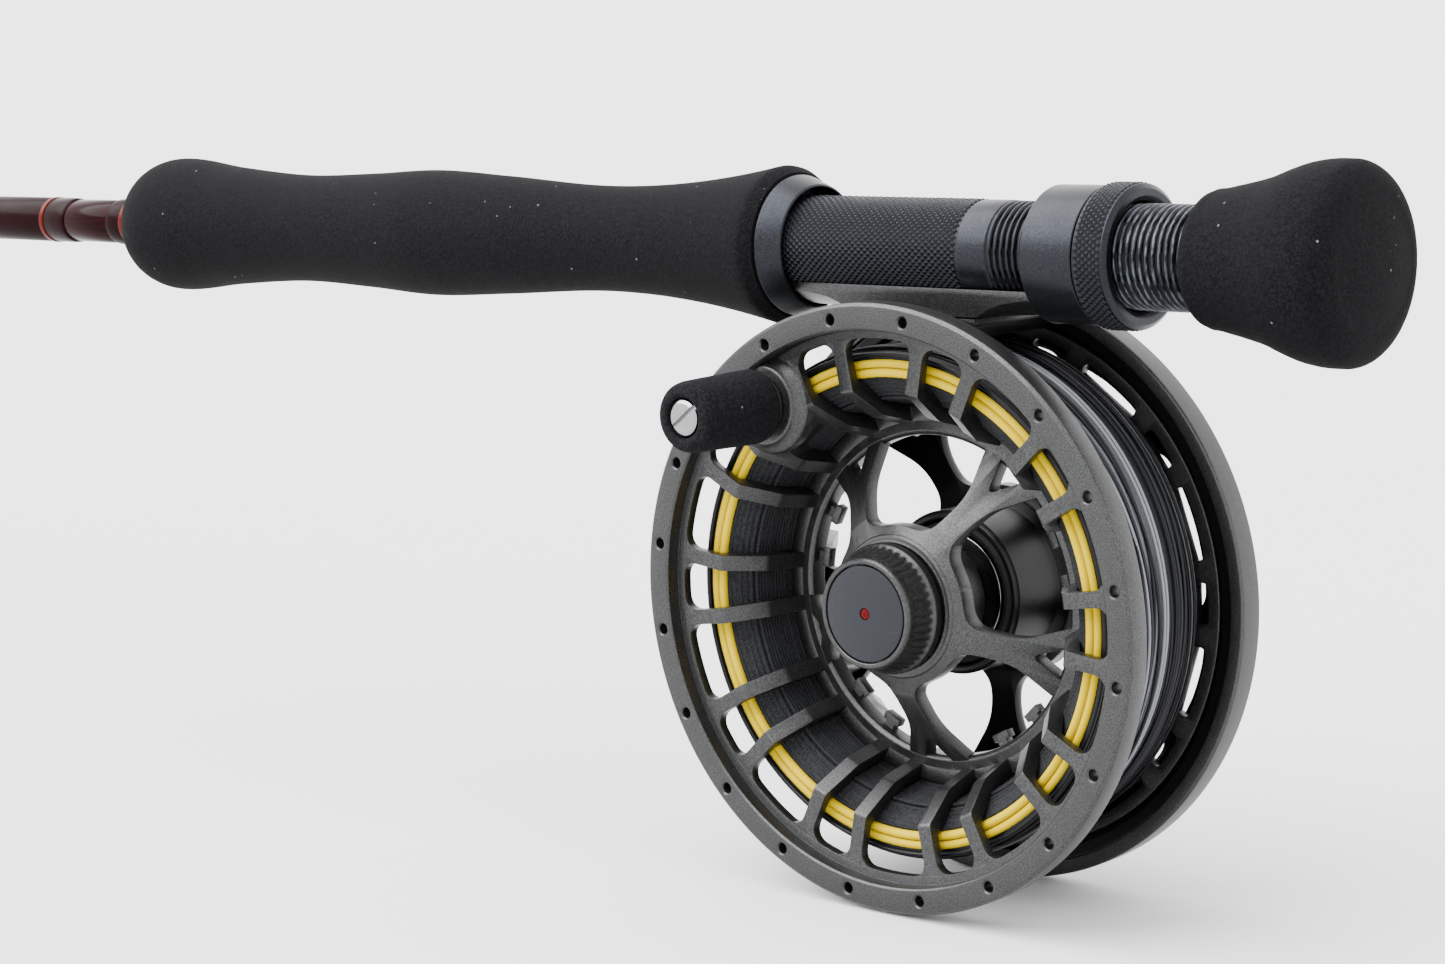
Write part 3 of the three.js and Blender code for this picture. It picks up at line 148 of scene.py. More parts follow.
LINE_RISE = 0.985  # one turn of line over another, in line widths
LINE_LEAN = 0.05

# Seat and guide sizes in millimetres; places are along the rod.
SEAT_BAND_X = 133.0
SEAT_THREAD_X = 139.0
POCKET_END_X = 90.0
POCKET_R = 10.45  # inside the hoods, over the foot's ends
SEAT_SLEEVE_R = 9.1  # inside the hoods and the nut, over the barrel
GUIDE_WIRE_R = 0.75
GUIDE_RING_R = 7.6

# The camera and the light, in degrees, millimetres and metres.
CAMERA_TURN = (42.14, 8.39, -1.71)  # azimuth, elevation and roll
CAMERA_TARGET = (-33.69, 0.0, 19.68)  # from the reel's origin
CAMERA_DISTANCE = 0.5584
LENS_LENGTH = 3179.0 / IMAGE_WIDTH * SENSOR_WIDTH
SUN_DIRECTION = (-0.40, -0.42, 0.82)
SUN_SPREAD = 70
FLOOR_REACH = 30.0


# ------------------------------------------------------------------ settings
class RodSettings(bpy.types.PropertyGroup):
    """Sizes and colours of the rod."""
    foam_colour: FloatVectorProperty(
        name="Foam", description="Colour of the grip and the fighting butt", subtype="COLOR",
        size=3, min=0, max=1, default=(0.0019, 0.0019, 0.0023))
    blank_colour: FloatVectorProperty(
        name="Blank", description="Colour under the blank's clear coat", subtype="COLOR",
        size=3, min=0, max=1, default=(0.0088, 0.0004, 0.0009))
    trim_colour: FloatVectorProperty(
        name="Trim", description="Colour of the narrow trim bands", subtype="COLOR",
        size=3, min=0, max=1, default=(0.070, 0.0065, 0.0030))
    seat_colour: FloatVectorProperty(
        name="Seat", description="Anodised colour of the reel seat", subtype="COLOR",
        size=3, min=0, max=1, default=(0.0130, 0.0139, 0.0172))
    knurl_pitch: FloatProperty(
        name="Knurl pitch", description="Distance between the knurl's studs round the barrel",
        subtype="DISTANCE", unit="LENGTH", default=0.00112)
    thread_pitch: FloatProperty(
        name="Thread pitch", description="Rise of the seat's thread in one turn",
        subtype="DISTANCE", unit="LENGTH", default=0.00125)
    thread_depth: FloatProperty(
        name="Thread depth", description="Depth of the seat's thread",
        subtype="DISTANCE", unit="LENGTH", default=0.00060)


class ReelSettings(bpy.types.PropertyGroup):
    """Sizes and colours of the reel."""
    metal_colour: FloatVectorProperty(
        name="Metal", description="Anodised colour of the spool and the frame", subtype="COLOR",
        size=3, min=0, max=1, default=(0.0405, 0.0409, 0.0416))
    line_colour: FloatVectorProperty(
        name="Line", description="Colour of the fly line", subtype="COLOR",
        size=3, min=0, max=1, default=(0.43, 0.305, 0.0002))
    line_width: FloatProperty(
        name="Line width", description="Thickness of the fly line",
        subtype="DISTANCE", unit="LENGTH", default=0.0016)
    backing_pitch: FloatProperty(
        name="Backing pitch", description="Distance between turns of backing",
        subtype="DISTANCE", unit="LENGTH", default=0.00066)
    leader_width: FloatProperty(
        name="Running line width", description="Thickness of the outer turns",
        subtype="DISTANCE", unit="LENGTH", default=0.0009)
    flutes: IntProperty(
        name="Flutes", description="Number of flutes round the release cap", default=44, min=3)


class StageSettings(bpy.types.PropertyGroup):
    """The floor and the light."""
    floor_colour: FloatVectorProperty(
        name="Floor", description="Colour of the floor", subtype="COLOR",
        size=3, min=0, max=1, default=(0.53, 0.53, 0.53))
    sun_power: FloatProperty(
        name="Soft light", description="Strength of the wide soft light above", default=11.5, min=0)
    sky_power: FloatProperty(
        name="Surroundings", description="Brightness of the white surroundings", default=3.7, min=0)


# ------------------------------------------------------------------ outlines
def polar(radius, angle):
    """A point in the reel's X-Z plane, with the angle in degrees from +X towards +Z."""
    return (radius * math.cos(math.radians(angle)), radius * math.sin(math.radians(angle)))


def softened(outline, radius, steps=3):
    """A closed outline with each corner off the axis turned into a short curve."""
    points = []
    for index, corner in enumerate(outline):
        here = Vector(corner)
        if here.x < 1e-6:
            points.append(tuple(here))
            continue
        before = Vector(outline[index - 1]) - here
        after = Vector(outline[(index + 1) % len(outline)]) - here
        start = here + before.normalized() * min(radius, before.length * 0.45)
        end = here + after.normalized() * min(radius, after.length * 0.45)
        for step in range(steps + 1):
            t = step / steps
            points.append(tuple(start * (1 - t) ** 2 + here * (2 * t * (1 - t)) + end * t ** 2))
    return points


def ring(inner, outer, start, end, edge=0.15):
    """The outline of a plain ring with small rounded edges."""
    return softened([(inner, start), (outer, start), (outer, end), (inner, end)], edge)


def shaft(radius, start, end, edge=0.2):
    """The outline of a solid shaft with rounded ends."""
    return softened([(0.0, start), (radius, start), (radius, end), (0.0, end)], edge)


def span(start, end, count):
    """Places from just after start up to end."""
    return [start + (end - start) * (i + 1) / count for i in range(count)]


# ------------------------------------------------------------------ meshes
def turned(outline, axis="y", segments=128, shape=None):
    """A closed (radius, place) outline turned about an axis. shape bends its radius."""
    vertices, rows, faces = [], [], []
    for radius, place in outline:
        if radius < 1e-6:
            rows.append([len(vertices)] * segments)
            vertices.append((place, 0, 0) if axis == "x" else (0, place, 0))
            continue
        row = []
        for step in range(segments):
            angle = 2 * math.pi * step / segments
            r = shape(radius, place, angle) if shape else radius
            u, v = r * math.cos(angle), r * math.sin(angle)
            row.append(len(vertices))
            vertices.append((place, u, v) if axis == "x" else (u, place, v))
        rows.append(row)
    for here, there in zip(rows, rows[1:] + rows[:1]):
        for step in range(segments):
            after = (step + 1) % segments
            corners = [here[step], here[after], there[after], there[step]]
            unique = list(dict.fromkeys(corners))
            if len(unique) > 2:
                faces.append(unique)
    return vertices, faces


def prism(points, start, end):
    """A flat outline in the X-Z plane, extruded along Y."""
    count = len(points)
    vertices = [(x, start, z) for x, z in points] + [(x, end, z) for x, z in points]
    faces = [list(range(count)), list(range(2 * count - 1, count - 1, -1))]
    faces += [[i, i + count, (i + 1) % count + count, (i + 1) % count] for i in range(count)]
    return vertices, faces


def block(outline, width, angle):
    """A (radius, depth) outline given a width across the reel's radius at an angle."""
    along = Vector((math.cos(math.radians(angle)), 0, math.sin(math.radians(angle))))
    across = Vector((-along.z, 0, along.x)) * (width / 2)
    count = len(outline)
    sides = []
    for side in (-1, 1):
        sides.append([along * r + Vector((0, y, 0)) + across * side for r, y in outline])
    faces = [list(range(count)), list(range(2 * count - 1, count - 1, -1))]
    faces += [[i, i + count, (i + 1) % count + count, (i + 1) % count] for i in range(count)]
    return [tuple(v) for side in sides for v in side], faces


def shifted(part, x, z):
    """A part moved off the reel's axle."""
    vertices, faces = part
    return [(vx + x, y, vz + z) for vx, y, vz in vertices], faces


def upright(outline, x, segments):
    """A part turned about a line up through the foot, for its screws and their holes."""
    vertices, faces = turned(outline, "x", segments)
    return [(z + x, ROD_Y + y, along) for along, y, z in vertices], faces


def swept(points, radius, sides=16, closed=False):
    """A round wire through a smooth line of points."""
    curve = bpy.data.curves.new("wire", "CURVE")
    curve.dimensions = "3D"
    curve.bevel_depth = radius
    curve.bevel_resolution = sides // 4
    curve.resolution_u = 10
    curve.use_fill_caps = True
    spline = curve.splines.new("BEZIER")
    spline.bezier_points.add(len(points) - 1)
    for knot, point in zip(spline.bezier_points, points):
        knot.co = point
        knot.handle_left_type = knot.handle_right_type = "AUTO"
    spline.use_cyclic_u = closed
    holder = bpy.data.objects.new("wire", curve)
    bpy.context.scene.collection.objects.link(holder)
    mesh = evaluated_mesh(holder)
    parts = ([tuple(v.co) for v in mesh.vertices], [list(p.vertices) for p in mesh.polygons])
    bpy.data.objects.remove(holder)
    return parts


def evaluated_mesh(holder):
    """The plain mesh that an object's modifiers or curve settings make."""
    graph = bpy.context.evaluated_depsgraph_get()
    graph.update()
    return bpy.data.meshes.new_from_object(holder.evaluated_get(graph))


def settle(holder):
    """Puts what the modifiers make into the object's own mesh."""
    mesh = evaluated_mesh(holder)
    holder.modifiers.clear()
    holder.data = mesh


def body_of(name, parts, place=None):
    """An object made of (vertices, faces) parts in millimetres, moved to its place in metres."""
    model = bmesh.new()
    for vertices, faces in parts:
        corners = [model.verts.new(v) for v in vertices]
        for face in faces:
            model.faces.new([corners[i] for i in face])
    bmesh.ops.remove_doubles(model, verts=model.verts, dist=1e-5)
    bmesh.ops.recalc_face_normals(model, faces=model.faces)
    mesh = bpy.data.meshes.new(name)
    model.to_mesh(mesh)
    model.free()
    mesh.transform(Matrix.Translation(place or Vector()) @ Matrix.Scale(MM, 4))
    holder = bpy.data.objects.new(name, mesh)
    bpy.context.scene.collection.objects.link(holder)
    return holder


def at_reel(name, parts):
    """A body like that, with its parts given from the reel's own axes."""
    return body_of(name, parts, REEL_ORIGIN)


def carve(base, tool, operation="DIFFERENCE"):
    """Cuts a tool out of an object, or joins it on, and throws the tool away."""
    modifier = base.modifiers.new("carve", "BOOLEAN")
    modifier.operation = operation
    modifier.solver = "MANIFOLD"
    modifier.object = tool
    settle(base)
    bpy.data.objects.remove(tool)
    return base


def joined(base, *tools):
    """Joins tools onto an object."""
    for tool in tools:
        carve(base, tool, "UNION")
    return base


def crisp(holder, width, angle=32.0):
    """Breaks the sharp edges of a machined piece with a narrow bevel."""
    modifier = holder.modifiers.new("edges", "BEVEL")
    modifier.width = width * MM
    modifier.segments = 2
    modifier.limit_method = "ANGLE"
    modifier.angle_limit = math.radians(angle)
    modifier.use_clamp_overlap = True
    modifier.harden_normals = False
    settle(holder)
    return holder


def finished(holder, material, body, replaced=(), sharp=38.0):
    """Gives a piece its finish, its shading and its body."""
    mesh = holder.data
    mesh.materials.clear()
    mesh.materials.append(material)
    mesh.polygons.foreach_set("material_index", [0] * len(mesh.polygons))
    mesh.polygons.foreach_set("use_smooth", [True] * len(mesh.polygons))
    mesh.set_sharp_from_angle(angle=math.radians(sharp))
    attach(holder, body)
    if replaced:
        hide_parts(*replaced)
    return holder


# ------------------------------------------------------------------ geometry nodes
class Tree:
    """A geometry node tree with named inputs, built node by node."""

    def __init__(self, name, inputs):
        self.tree = bpy.data.node_groups.new(name, "GeometryNodeTree")
        self.tree.is_modifier = True
        face = self.tree.interface
        face.new_socket("Geometry", in_out="INPUT", socket_type="NodeSocketGeometry")
        face.new_socket("Geometry", in_out="OUTPUT", socket_type="NodeSocketGeometry")
        self.names = {}
        for label, kind in inputs.items():
            socket = face.new_socket(label, in_out="INPUT", socket_type=kind)
            self.names[label] = socket.identifier
        self.start = self.tree.nodes.new("NodeGroupInput")
        self.end = self.tree.nodes.new("NodeGroupOutput")

    def given(self, label):
        """One of the tree's own inputs."""
        return Number(self, self.start.outputs[label])

    def node(self, kind, settings=None, **sockets):
        """A node with its settings made first, then its sockets set or linked by name."""
        node = self.tree.nodes.new(kind)
        for key, value in (settings or {}).items():
            setattr(node, key, value)
        for key, value in sockets.items():
            numbered = key[0] == "i" and key[1:].isdigit()
            target = node.inputs[int(key[1:]) if numbered else key]
            self.feed(target, value)
        return node

    def feed(self, target, value):
        """Links a socket or sets its value."""
        if isinstance(value, Number):
            value = value.socket
        if isinstance(value, bpy.types.NodeSocket):
            self.tree.links.new(value, target)
        else:
            target.default_value = value

    def close(self, geometry):
        """Ends the tree: real geometry with the piece's material on it."""
        real = self.node("GeometryNodeRealizeInstances", i0=geometry)
        painted = self.node("GeometryNodeSetMaterial", i0=real.outputs[0],
                            Material=self.given("Material"))
        self.tree.links.new(painted.outputs[0], self.end.inputs[0])
        return self

    def run(self, holder, **values):
        """Puts the tree on an object with its inputs set, and keeps what it makes."""
        modifier = holder.modifiers.new(self.tree.name, "NODES")
        modifier.node_group = self.tree
        for label, value in values.items():
            modifier[self.names[label.replace("_", " ")]] = value
        settle(holder)
        return holder


class Number:
    """A number socket that can be used in sums."""

    def __init__(self, tree, socket):
        self.tree = tree
        self.socket = socket

    def sum(self, operation, first, second=0.0):
        node = self.tree.node("ShaderNodeMath", {"operation": operation}, i0=first, i1=second)
        return Number(self.tree, node.outputs[0])

    def __add__(self, other):
        return self.sum("ADD", self, other)

    def __radd__(self, other):
        return self.sum("ADD", other, self)

    def __sub__(self, other):
        return self.sum("SUBTRACT", self, other)

    def __rsub__(self, other):
        return self.sum("SUBTRACT", other, self)

    def __mul__(self, other):
        return self.sum("MULTIPLY", self, other)

    def __rmul__(self, other):
        return self.sum("MULTIPLY", other, self)

    def __truediv__(self, other):
        return self.sum("DIVIDE", self, other)

    def __rtruediv__(self, other):
        return self.sum("DIVIDE", other, self)

    def apply(self, operation, other=0.0):
        """Any other Math operation, with this number first."""
        return self.sum(operation, self, other)


def copies_tree():
    """Copies of a shape set round the reel's axle."""
    tree = Tree("Copies round the axle", {
        "Count": "NodeSocketInt", "First angle": "NodeSocketFloat", "Step angle": "NodeSocketFloat",
        "Material": "NodeSocketMaterial"})
    points = tree.node("GeometryNodePoints", Count=tree.given("Count"))
    index = Number(tree, tree.node("GeometryNodeInputIndex").outputs[0])
    angle = (tree.given("First angle") + index * tree.given("Step angle")) * -1
    turn = tree.node("ShaderNodeCombineXYZ", Y=angle)
    copies = tree.node("GeometryNodeInstanceOnPoints", Points=points.outputs[0],
                       Instance=tree.start.outputs["Geometry"], Rotation=turn.outputs[0])
    return tree.close(copies.outputs[0])


def turns_tree():
    """Turns of line side by side round the reel's axle, on a hollow deepest in the middle."""
    tree = Tree("Turns of line", {
        "Count": "NodeSocketInt", "First place": "NodeSocketFloat", "Pitch": "NodeSocketFloat",
        "Radius": "NodeSocketFloat", "Middle": "NodeSocketFloat", "Slope": "NodeSocketFloat",
        "Knee": "NodeSocketFloat", "Steep slope": "NodeSocketFloat", "Thickness": "NodeSocketFloat",
        "Uneven": "NodeSocketFloat", "Tilt": "NodeSocketFloat", "Seed": "NodeSocketInt",
        "Material": "NodeSocketMaterial"})

    def chance(offset, low, high):
        seed = tree.given("Seed") + offset
        node = tree.node("FunctionNodeRandomValue", {"data_type": "FLOAT"}, Seed=seed)
        node.inputs[2].default_value = low
        node.inputs[3].default_value = high
        return Number(tree, node.outputs[1])

    points = tree.node("GeometryNodePoints", Count=tree.given("Count"))
    index = Number(tree, tree.node("GeometryNodeInputIndex").outputs[0])
    place = tree.given("First place") + index * tree.given("Pitch")
    reach = (place - tree.given("Middle")).apply("ABSOLUTE")
    beyond = (reach - tree.given("Knee")).apply("MAXIMUM", 0.0)
    radius = tree.given("Radius") + reach * tree.given("Slope") + beyond * tree.given("Steep slope")
    radius = radius + chance(1, -1.0, 1.0) * tree.given("Uneven")
    lean_x = chance(2, -1.0, 1.0) * tree.given("Tilt") + math.pi / 2
    lean_y = chance(3, -1.0, 1.0) * tree.given("Tilt")
    circle = tree.node("GeometryNodeCurvePrimitiveCircle", Resolution=144, Radius=1.0)
    offset = tree.node("ShaderNodeCombineXYZ", Y=place)
    moved = tree.node("GeometryNodeSetPosition", Geometry=points.outputs[0],
                      Offset=offset.outputs[0])
    lean = tree.node("ShaderNodeCombineXYZ", X=lean_x, Y=lean_y, Z=0.0)
    size = tree.node("ShaderNodeCombineXYZ", X=radius, Y=radius, Z=radius)
    copies = tree.node("GeometryNodeInstanceOnPoints", Points=moved.outputs[0],
                       Instance=circle.outputs[0], Rotation=lean.outputs[0], Scale=size.outputs[0])
    tone = tree.node("GeometryNodeStoreNamedAttribute",
                     {"data_type": "FLOAT", "domain": "INSTANCE"}, Geometry=copies.outputs[0],
                     Name="tone", Value=chance(4, 0.0, 1.0))
    real = tree.node("GeometryNodeRealizeInstances", i0=tone.outputs[0])
    section = tree.node("GeometryNodeCurvePrimitiveCircle", Resolution=8,
                        Radius=tree.given("Thickness") / 2)
    tube = tree.node("GeometryNodeCurveToMesh", i0=real.outputs[0])
    tree.tree.links.new(section.outputs[0], tube.inputs["Profile Curve"])
    return tree.close(tube.outputs[0])


def knurl_tree():
    """A diamond knurl of small studs over a barrel along X."""
    tree = Tree("Diamond knurl", {
        "Around": "NodeSocketInt", "Rows": "NodeSocketInt", "Start": "NodeSocketFloat",
        "Row pitch": "NodeSocketFloat", "Radius": "NodeSocketFloat", "Stud": "NodeSocketFloat",
        "Height": "NodeSocketFloat", "Material": "NodeSocketMaterial"})
    around = tree.given("Around")
    count = around * tree.given("Rows")
    points = tree.node("GeometryNodePoints", Count=count)
    index = Number(tree, tree.node("GeometryNodeInputIndex").outputs[0])
    row = (index / around).apply("FLOOR")
    column = index - row * around
    stagger = row.apply("MODULO", 2.0) * 0.5
    angle = (column + stagger) * (2 * math.pi) / around
    place = tree.given("Start") + row * tree.given("Row pitch")
    radius = tree.given("Radius")
    spot = tree.node("ShaderNodeCombineXYZ", X=place, Y=angle.apply("SINE") * radius * -1,
                     Z=angle.apply("COSINE") * radius)
    moved = tree.node("GeometryNodeSetPosition", Geometry=points.outputs[0],
                      Position=spot.outputs[0])
    stud = tree.node("GeometryNodeMeshCone", Vertices=4, i3=tree.given("Stud") * 0.28,
                     i4=tree.given("Stud"), Depth=tree.given("Height"))
    turn = tree.node("ShaderNodeCombineXYZ", X=angle)
    copies = tree.node("GeometryNodeInstanceOnPoints", Points=moved.outputs[0],
                       Instance=stud.outputs[0], Rotation=turn.outputs[0])
    return tree.close(copies.outputs[0])


TREES = {}


def tree_named(name, maker):
    """A node tree, made the first time it is asked for."""
    if name not in TREES:
        TREES[name] = maker()
    return TREES[name]


def copied(name, parts, count, first=0.0, step=None):
    """A shape in the reel's own axes, in millimetres, copied round the axle as one plain mesh."""
    holder = body_of(name, parts)
    degrees = 360.0 / count if step is None else step
    tree_named("copies", copies_tree).run(
        holder, Count=count, First_angle=math.radians(first), Step_angle=math.radians(degrees),
        Material=finish("reel_anodised"))
    holder.data.transform(Matrix.Translation(REEL_ORIGIN))
    return holder


def wound(name, **values):
    """Turns of line round the axle, as one plain mesh. They lie level unless slopes are given."""
    holder = body_of(name, [])
    level = {"Middle": 0.0, "Slope": 0.0, "Knee": 1.0, "Steep_slope": 0.0,
             "Uneven": 0.0, "Tilt": 0.0}
    tree_named("turns", turns_tree).run(holder, **{**level, **values})
    holder.data.transform(Matrix.Translation(REEL_ORIGIN))
    return holder


def knurled(name, pitch, start, end, radius, material):
    """A diamond knurl between two places along the rod."""
    around = round(2 * math.pi * radius / pitch)
    row_pitch = pitch * 0.62
    rows = int((end - start) / row_pitch)
    holder = body_of(name, [])
    tree_named("knurl", knurl_tree).run(
        holder, Around=around, Rows=rows, Start=start + row_pitch * 0.5, Row_pitch=row_pitch,
        Radius=radius - 0.00004, Stud=pitch * 0.56, Height=0.00030, Material=material)
    return holder


# ------------------------------------------------------------------ finishes
class Finish:
    """A material built node by node."""

    def __init__(self, name):
        self.material = bpy.data.materials.new(name)
        self.material.use_nodes = True
        self.tree = self.material.node_tree
        self.shader = self.tree.nodes["Principled BSDF"]
        self.place = self.node("ShaderNodeTexCoord").outputs["Object"]

    node = Tree.node
    feed = Tree.feed

    def number(self, node, output=0):
        """A node's output for use in sums."""
        return Number(self, node.outputs[output])

    def grain(self, scale, detail=3.0, rough=0.55, stretch=None):
        """Noise at a scale in features per metre, stretched along an axis if asked."""
        place = self.place
        if stretch:
            place = self.node("ShaderNodeMapping", Vector=self.place, Scale=stretch).outputs[0]
        node = self.node("ShaderNodeTexNoise", Vector=place, Scale=scale, Detail=detail,
                         Roughness=rough)
        return self.number(node)

    def tone(self):
        """The stored tone of each turn of line, from 0 to 1."""
        return self.number(self.node("ShaderNodeAttribute", {"attribute_name": "tone"}), 2)

    def ramp(self, value, low, high):
        """0 below low, 1 above high, smooth between."""
        node = self.node("ShaderNodeMapRange", {"interpolation_type": "SMOOTHSTEP"}, Value=value)
        node.inputs["From Min"].default_value = low
        node.inputs["From Max"].default_value = high
        return self.number(node)

    def mixed(self, mask, first, second):
        """A colour between two colours."""
        node = self.node("ShaderNodeMix", {"data_type": "RGBA"}, i0=mask)
        for index, colour in ((6, first), (7, second)):
            value = colour if isinstance(colour, bpy.types.NodeSocket) else (*colour, 1.0)
            self.feed(node.inputs[index], value)
        return node.outputs[2]

    def bump(self, height, distance, strength=1.0, under=None):
        """A surface relief in metres."""
        node = self.node("ShaderNodeBump", Height=height, Distance=distance, Strength=strength)
        if under:
            self.tree.links.new(under, node.inputs["Normal"])
        return node.outputs[0]

    def made(self, **sockets):
        """Sets the shader's sockets and gives the material."""
        for label, value in sockets.items():
            self.feed(self.shader.inputs[label.replace("_", " ")], value)
        return self.material


def shade(colour, factor):
    """A colour made lighter or darker."""
    return tuple(min(1.0, c * factor) for c in colour)


def anodised_finish(name, colour, rough, grain_depth):
    """Bead-blasted anodising: a fine speckle, soft patches and light handling marks."""
    paint = Finish(name)
    speckle = paint.grain(3900.0, 2.0, 0.6)
    patch = paint.grain(160.0, 3.0)
    scuff = paint.ramp(paint.grain(900.0, 4.0, 0.7, stretch=(1.0, 0.12, 1.0)), 0.66, 0.80)
    body = paint.mixed(paint.ramp(speckle, 0.32, 0.70), shade(colour, 0.62), shade(colour, 1.42))
    toned = paint.mixed(paint.ramp(patch, 0.35, 0.70) * 0.35, body, shade(colour, 0.82))
    worn = paint.mixed(scuff * 0.22, toned, shade(colour, 1.9))
    relief = paint.bump(speckle, 0.00003 * grain_depth, 0.7)
    roughness = rough + (speckle - 0.5) * 0.16 + (patch - 0.5) * 0.10
    return paint.made(Base_Color=worn, Metallic=0.92, Roughness=roughness, Normal=relief)


def frame_painted_shade_finish(name, colour):
    """The frame's anodising, with painted shade inside the ring and over the drag housing, where no
    light falls on them.
    """
    paint = Finish(name)
    speckle = paint.grain(3900.0, 2.0, 0.6)
    patch = paint.grain(160.0, 3.0)
    centred = paint.node("ShaderNodeMapping", Vector=paint.place,
                         Location=(-REEL_ORIGIN.x, -REEL_ORIGIN.y, -REEL_ORIGIN.z))
    parts = paint.node("ShaderNodeSeparateXYZ", Vector=centred.outputs[0])
    x, y, z = (paint.number(parts, i) for i in range(3))
    radius = (x * x + z * z).apply("SQRT")
    inside = 1 - paint.ramp(radius, 0.0500, 0.0503)
    forward = 1 - paint.ramp(y, 0.0372, 0.0376)
    # Painted shade: inside the ring, short of the frame's back face, the base colour is darkened.
    painted_shade_in_ring = inside * forward * paint.ramp(radius, 0.0190, 0.0200)
    body = paint.mixed(paint.ramp(speckle, 0.30, 0.72), shade(colour, 0.74), shade(colour, 1.30))
    toned = paint.mixed(paint.ramp(patch, 0.35, 0.70) * 0.3, body, shade(colour, 0.82))
    # Painted shade over the drag housing, darkened in the base colour the same way.
    housing = (1 - paint.ramp(radius, 0.0190, 0.0200)) * forward
    dark = paint.mixed(painted_shade_in_ring * 0.85 + housing * 0.72, toned, shade(colour, 0.12))
    relief = paint.bump(speckle, 0.00003, 0.7)
    return paint.made(Base_Color=dark, Metallic=0.92, Roughness=0.38 + (speckle - 0.5) * 0.16,
                      Normal=relief)


def turned_metal_finish(name, colour, rough):
    """Bright metal with fine lathe lines round it."""
    paint = Finish(name)
    lines = paint.grain(2600.0, 3.0, 0.6, stretch=(1.0, 6.0, 1.0))
    patch = paint.grain(240.0, 3.0)
    body = paint.mixed(paint.ramp(patch, 0.3, 0.75), shade(colour, 0.82), colour)
    relief = paint.bump(lines, 0.000012, 0.6)
    return paint.made(Base_Color=body, Metallic=1.0, Roughness=rough + (lines - 0.5) * 0.14,
                      Normal=relief)


def thread_metal_finish(name, colour):
    """The seat's thread: dark anodising worn to bare metal in streaks along its crests, with
    painted shade in its grooves.
    """
    paint = Finish(name)
    centred = paint.node("ShaderNodeSeparateXYZ", Vector=paint.place)
    x, y, z = (paint.number(centred, i) for i in range(3))
    radius = (y * y + z * z).apply("SQRT")
    crest = paint.ramp(radius, 0.00835, 0.00866)
    streak = paint.ramp(paint.grain(420.0, 5.0, 0.7, stretch=(4.0, 1.0, 1.0)), 0.42, 0.62)
    turned_over = paint.ramp(x, 0.1500, 0.1560)
    painted_groove_shade = 1 - paint.ramp(radius, 0.00822, 0.00850)
    body = paint.mixed(crest * streak * turned_over * 0.8, colour, (0.080, 0.088, 0.105))
    # Painted shade: the thread's grooves are darkened in the base colour, less over the worn
    # stretch.
    body = paint.mixed(painted_groove_shade * (0.85 - turned_over * 0.35), body, shade(colour, 0.08))
    relief = paint.bump(paint.grain(4200.0, 3.0), 0.00002, 0.6)
    return paint.made(Base_Color=body, Metallic=0.9, Roughness=0.34 + streak * 0.14, Normal=relief)


def foam_finish(name, colour, cells=2300.0):
    """Closed-cell foam: a velvety black with fine open pores and a few pale specks of dust."""
    paint = Finish(name)
    pores = paint.number(paint.node("ShaderNodeTexVoronoi", Vector=paint.place, Scale=cells))
    fuzz = paint.grain(1900.0, 4.0, 0.75)
    sanded = paint.grain(120.0, 4.0)
    dust = paint.number(paint.node("ShaderNodeTexVoronoi", Vector=paint.place, Scale=330.0))
    chosen = paint.ramp(paint.grain(90.0, 2.0), 0.54, 0.62)
    speck = (1 - paint.ramp(dust, 0.055, 0.085)) * chosen
    body = paint.mixed(paint.ramp(fuzz, 0.36, 0.66), shade(colour, 0.35), shade(colour, 2.6))
    toned = paint.mixed(paint.ramp(sanded, 0.35, 0.7) * 0.25, body, shade(colour, 1.6))
    dusty = paint.mixed(speck * 0.8, toned, (0.11, 0.11, 0.11))
    relief = paint.bump(pores * 0.6 + fuzz * 0.9, 0.00022, 0.9)
    return paint.made(Base_Color=dusty, Roughness=0.90 + (fuzz - 0.5) * 0.12, Normal=relief,
                      Specular_IOR_Level=0.06)


def blank_finish(name, colour):
    """Rolled carbon under a deep clear coat, with a red cast and faint spiral wrap marks."""
    paint = Finish(name)
    spiral = paint.grain(300.0, 2.0, 0.5, stretch=(0.25, 1.0, 1.0))
    fibre = paint.grain(2400.0, 3.0, 0.6, stretch=(0.06, 1.0, 1.0))
    body = paint.mixed(paint.ramp(fibre, 0.35, 0.7), shade(colour, 0.5), shade(colour, 1.7))
    toned = paint.mixed(paint.ramp(spiral, 0.4, 0.65) * 0.5, body, shade(colour, 0.6))
    relief = paint.bump(spiral, 0.00002, 0.35)
    return paint.made(Base_Color=toned, Roughness=0.16 + (fibre - 0.5) * 0.05, Normal=relief,
                      Coat_Weight=0.02, Coat_Roughness=0.04, Specular_IOR_Level=0.02)


def wrap_finish(name, colour, metallic):
    """Thread laid in close turns under clear epoxy."""
    paint = Finish(name)
    along = paint.number(paint.node("ShaderNodeSeparateXYZ", Vector=paint.place))
    turn = (along * (2 * math.pi / 0.00022)).apply("SINE") * 0.5 + 0.5
    epoxy = paint.grain(190.0, 2.0)
    body = paint.mixed(turn, shade(colour, 0.55), shade(colour, 1.15))
    relief = paint.bump(turn * 0.25 + epoxy * 3.0, 0.00004, 0.5)
    return paint.made(Base_Color=body, Roughness=0.22 + turn * 0.08, Normal=relief,
                      Metallic=metallic, Coat_Weight=0.02, Coat_Roughness=0.05,
                      Specular_IOR_Level=0.02)


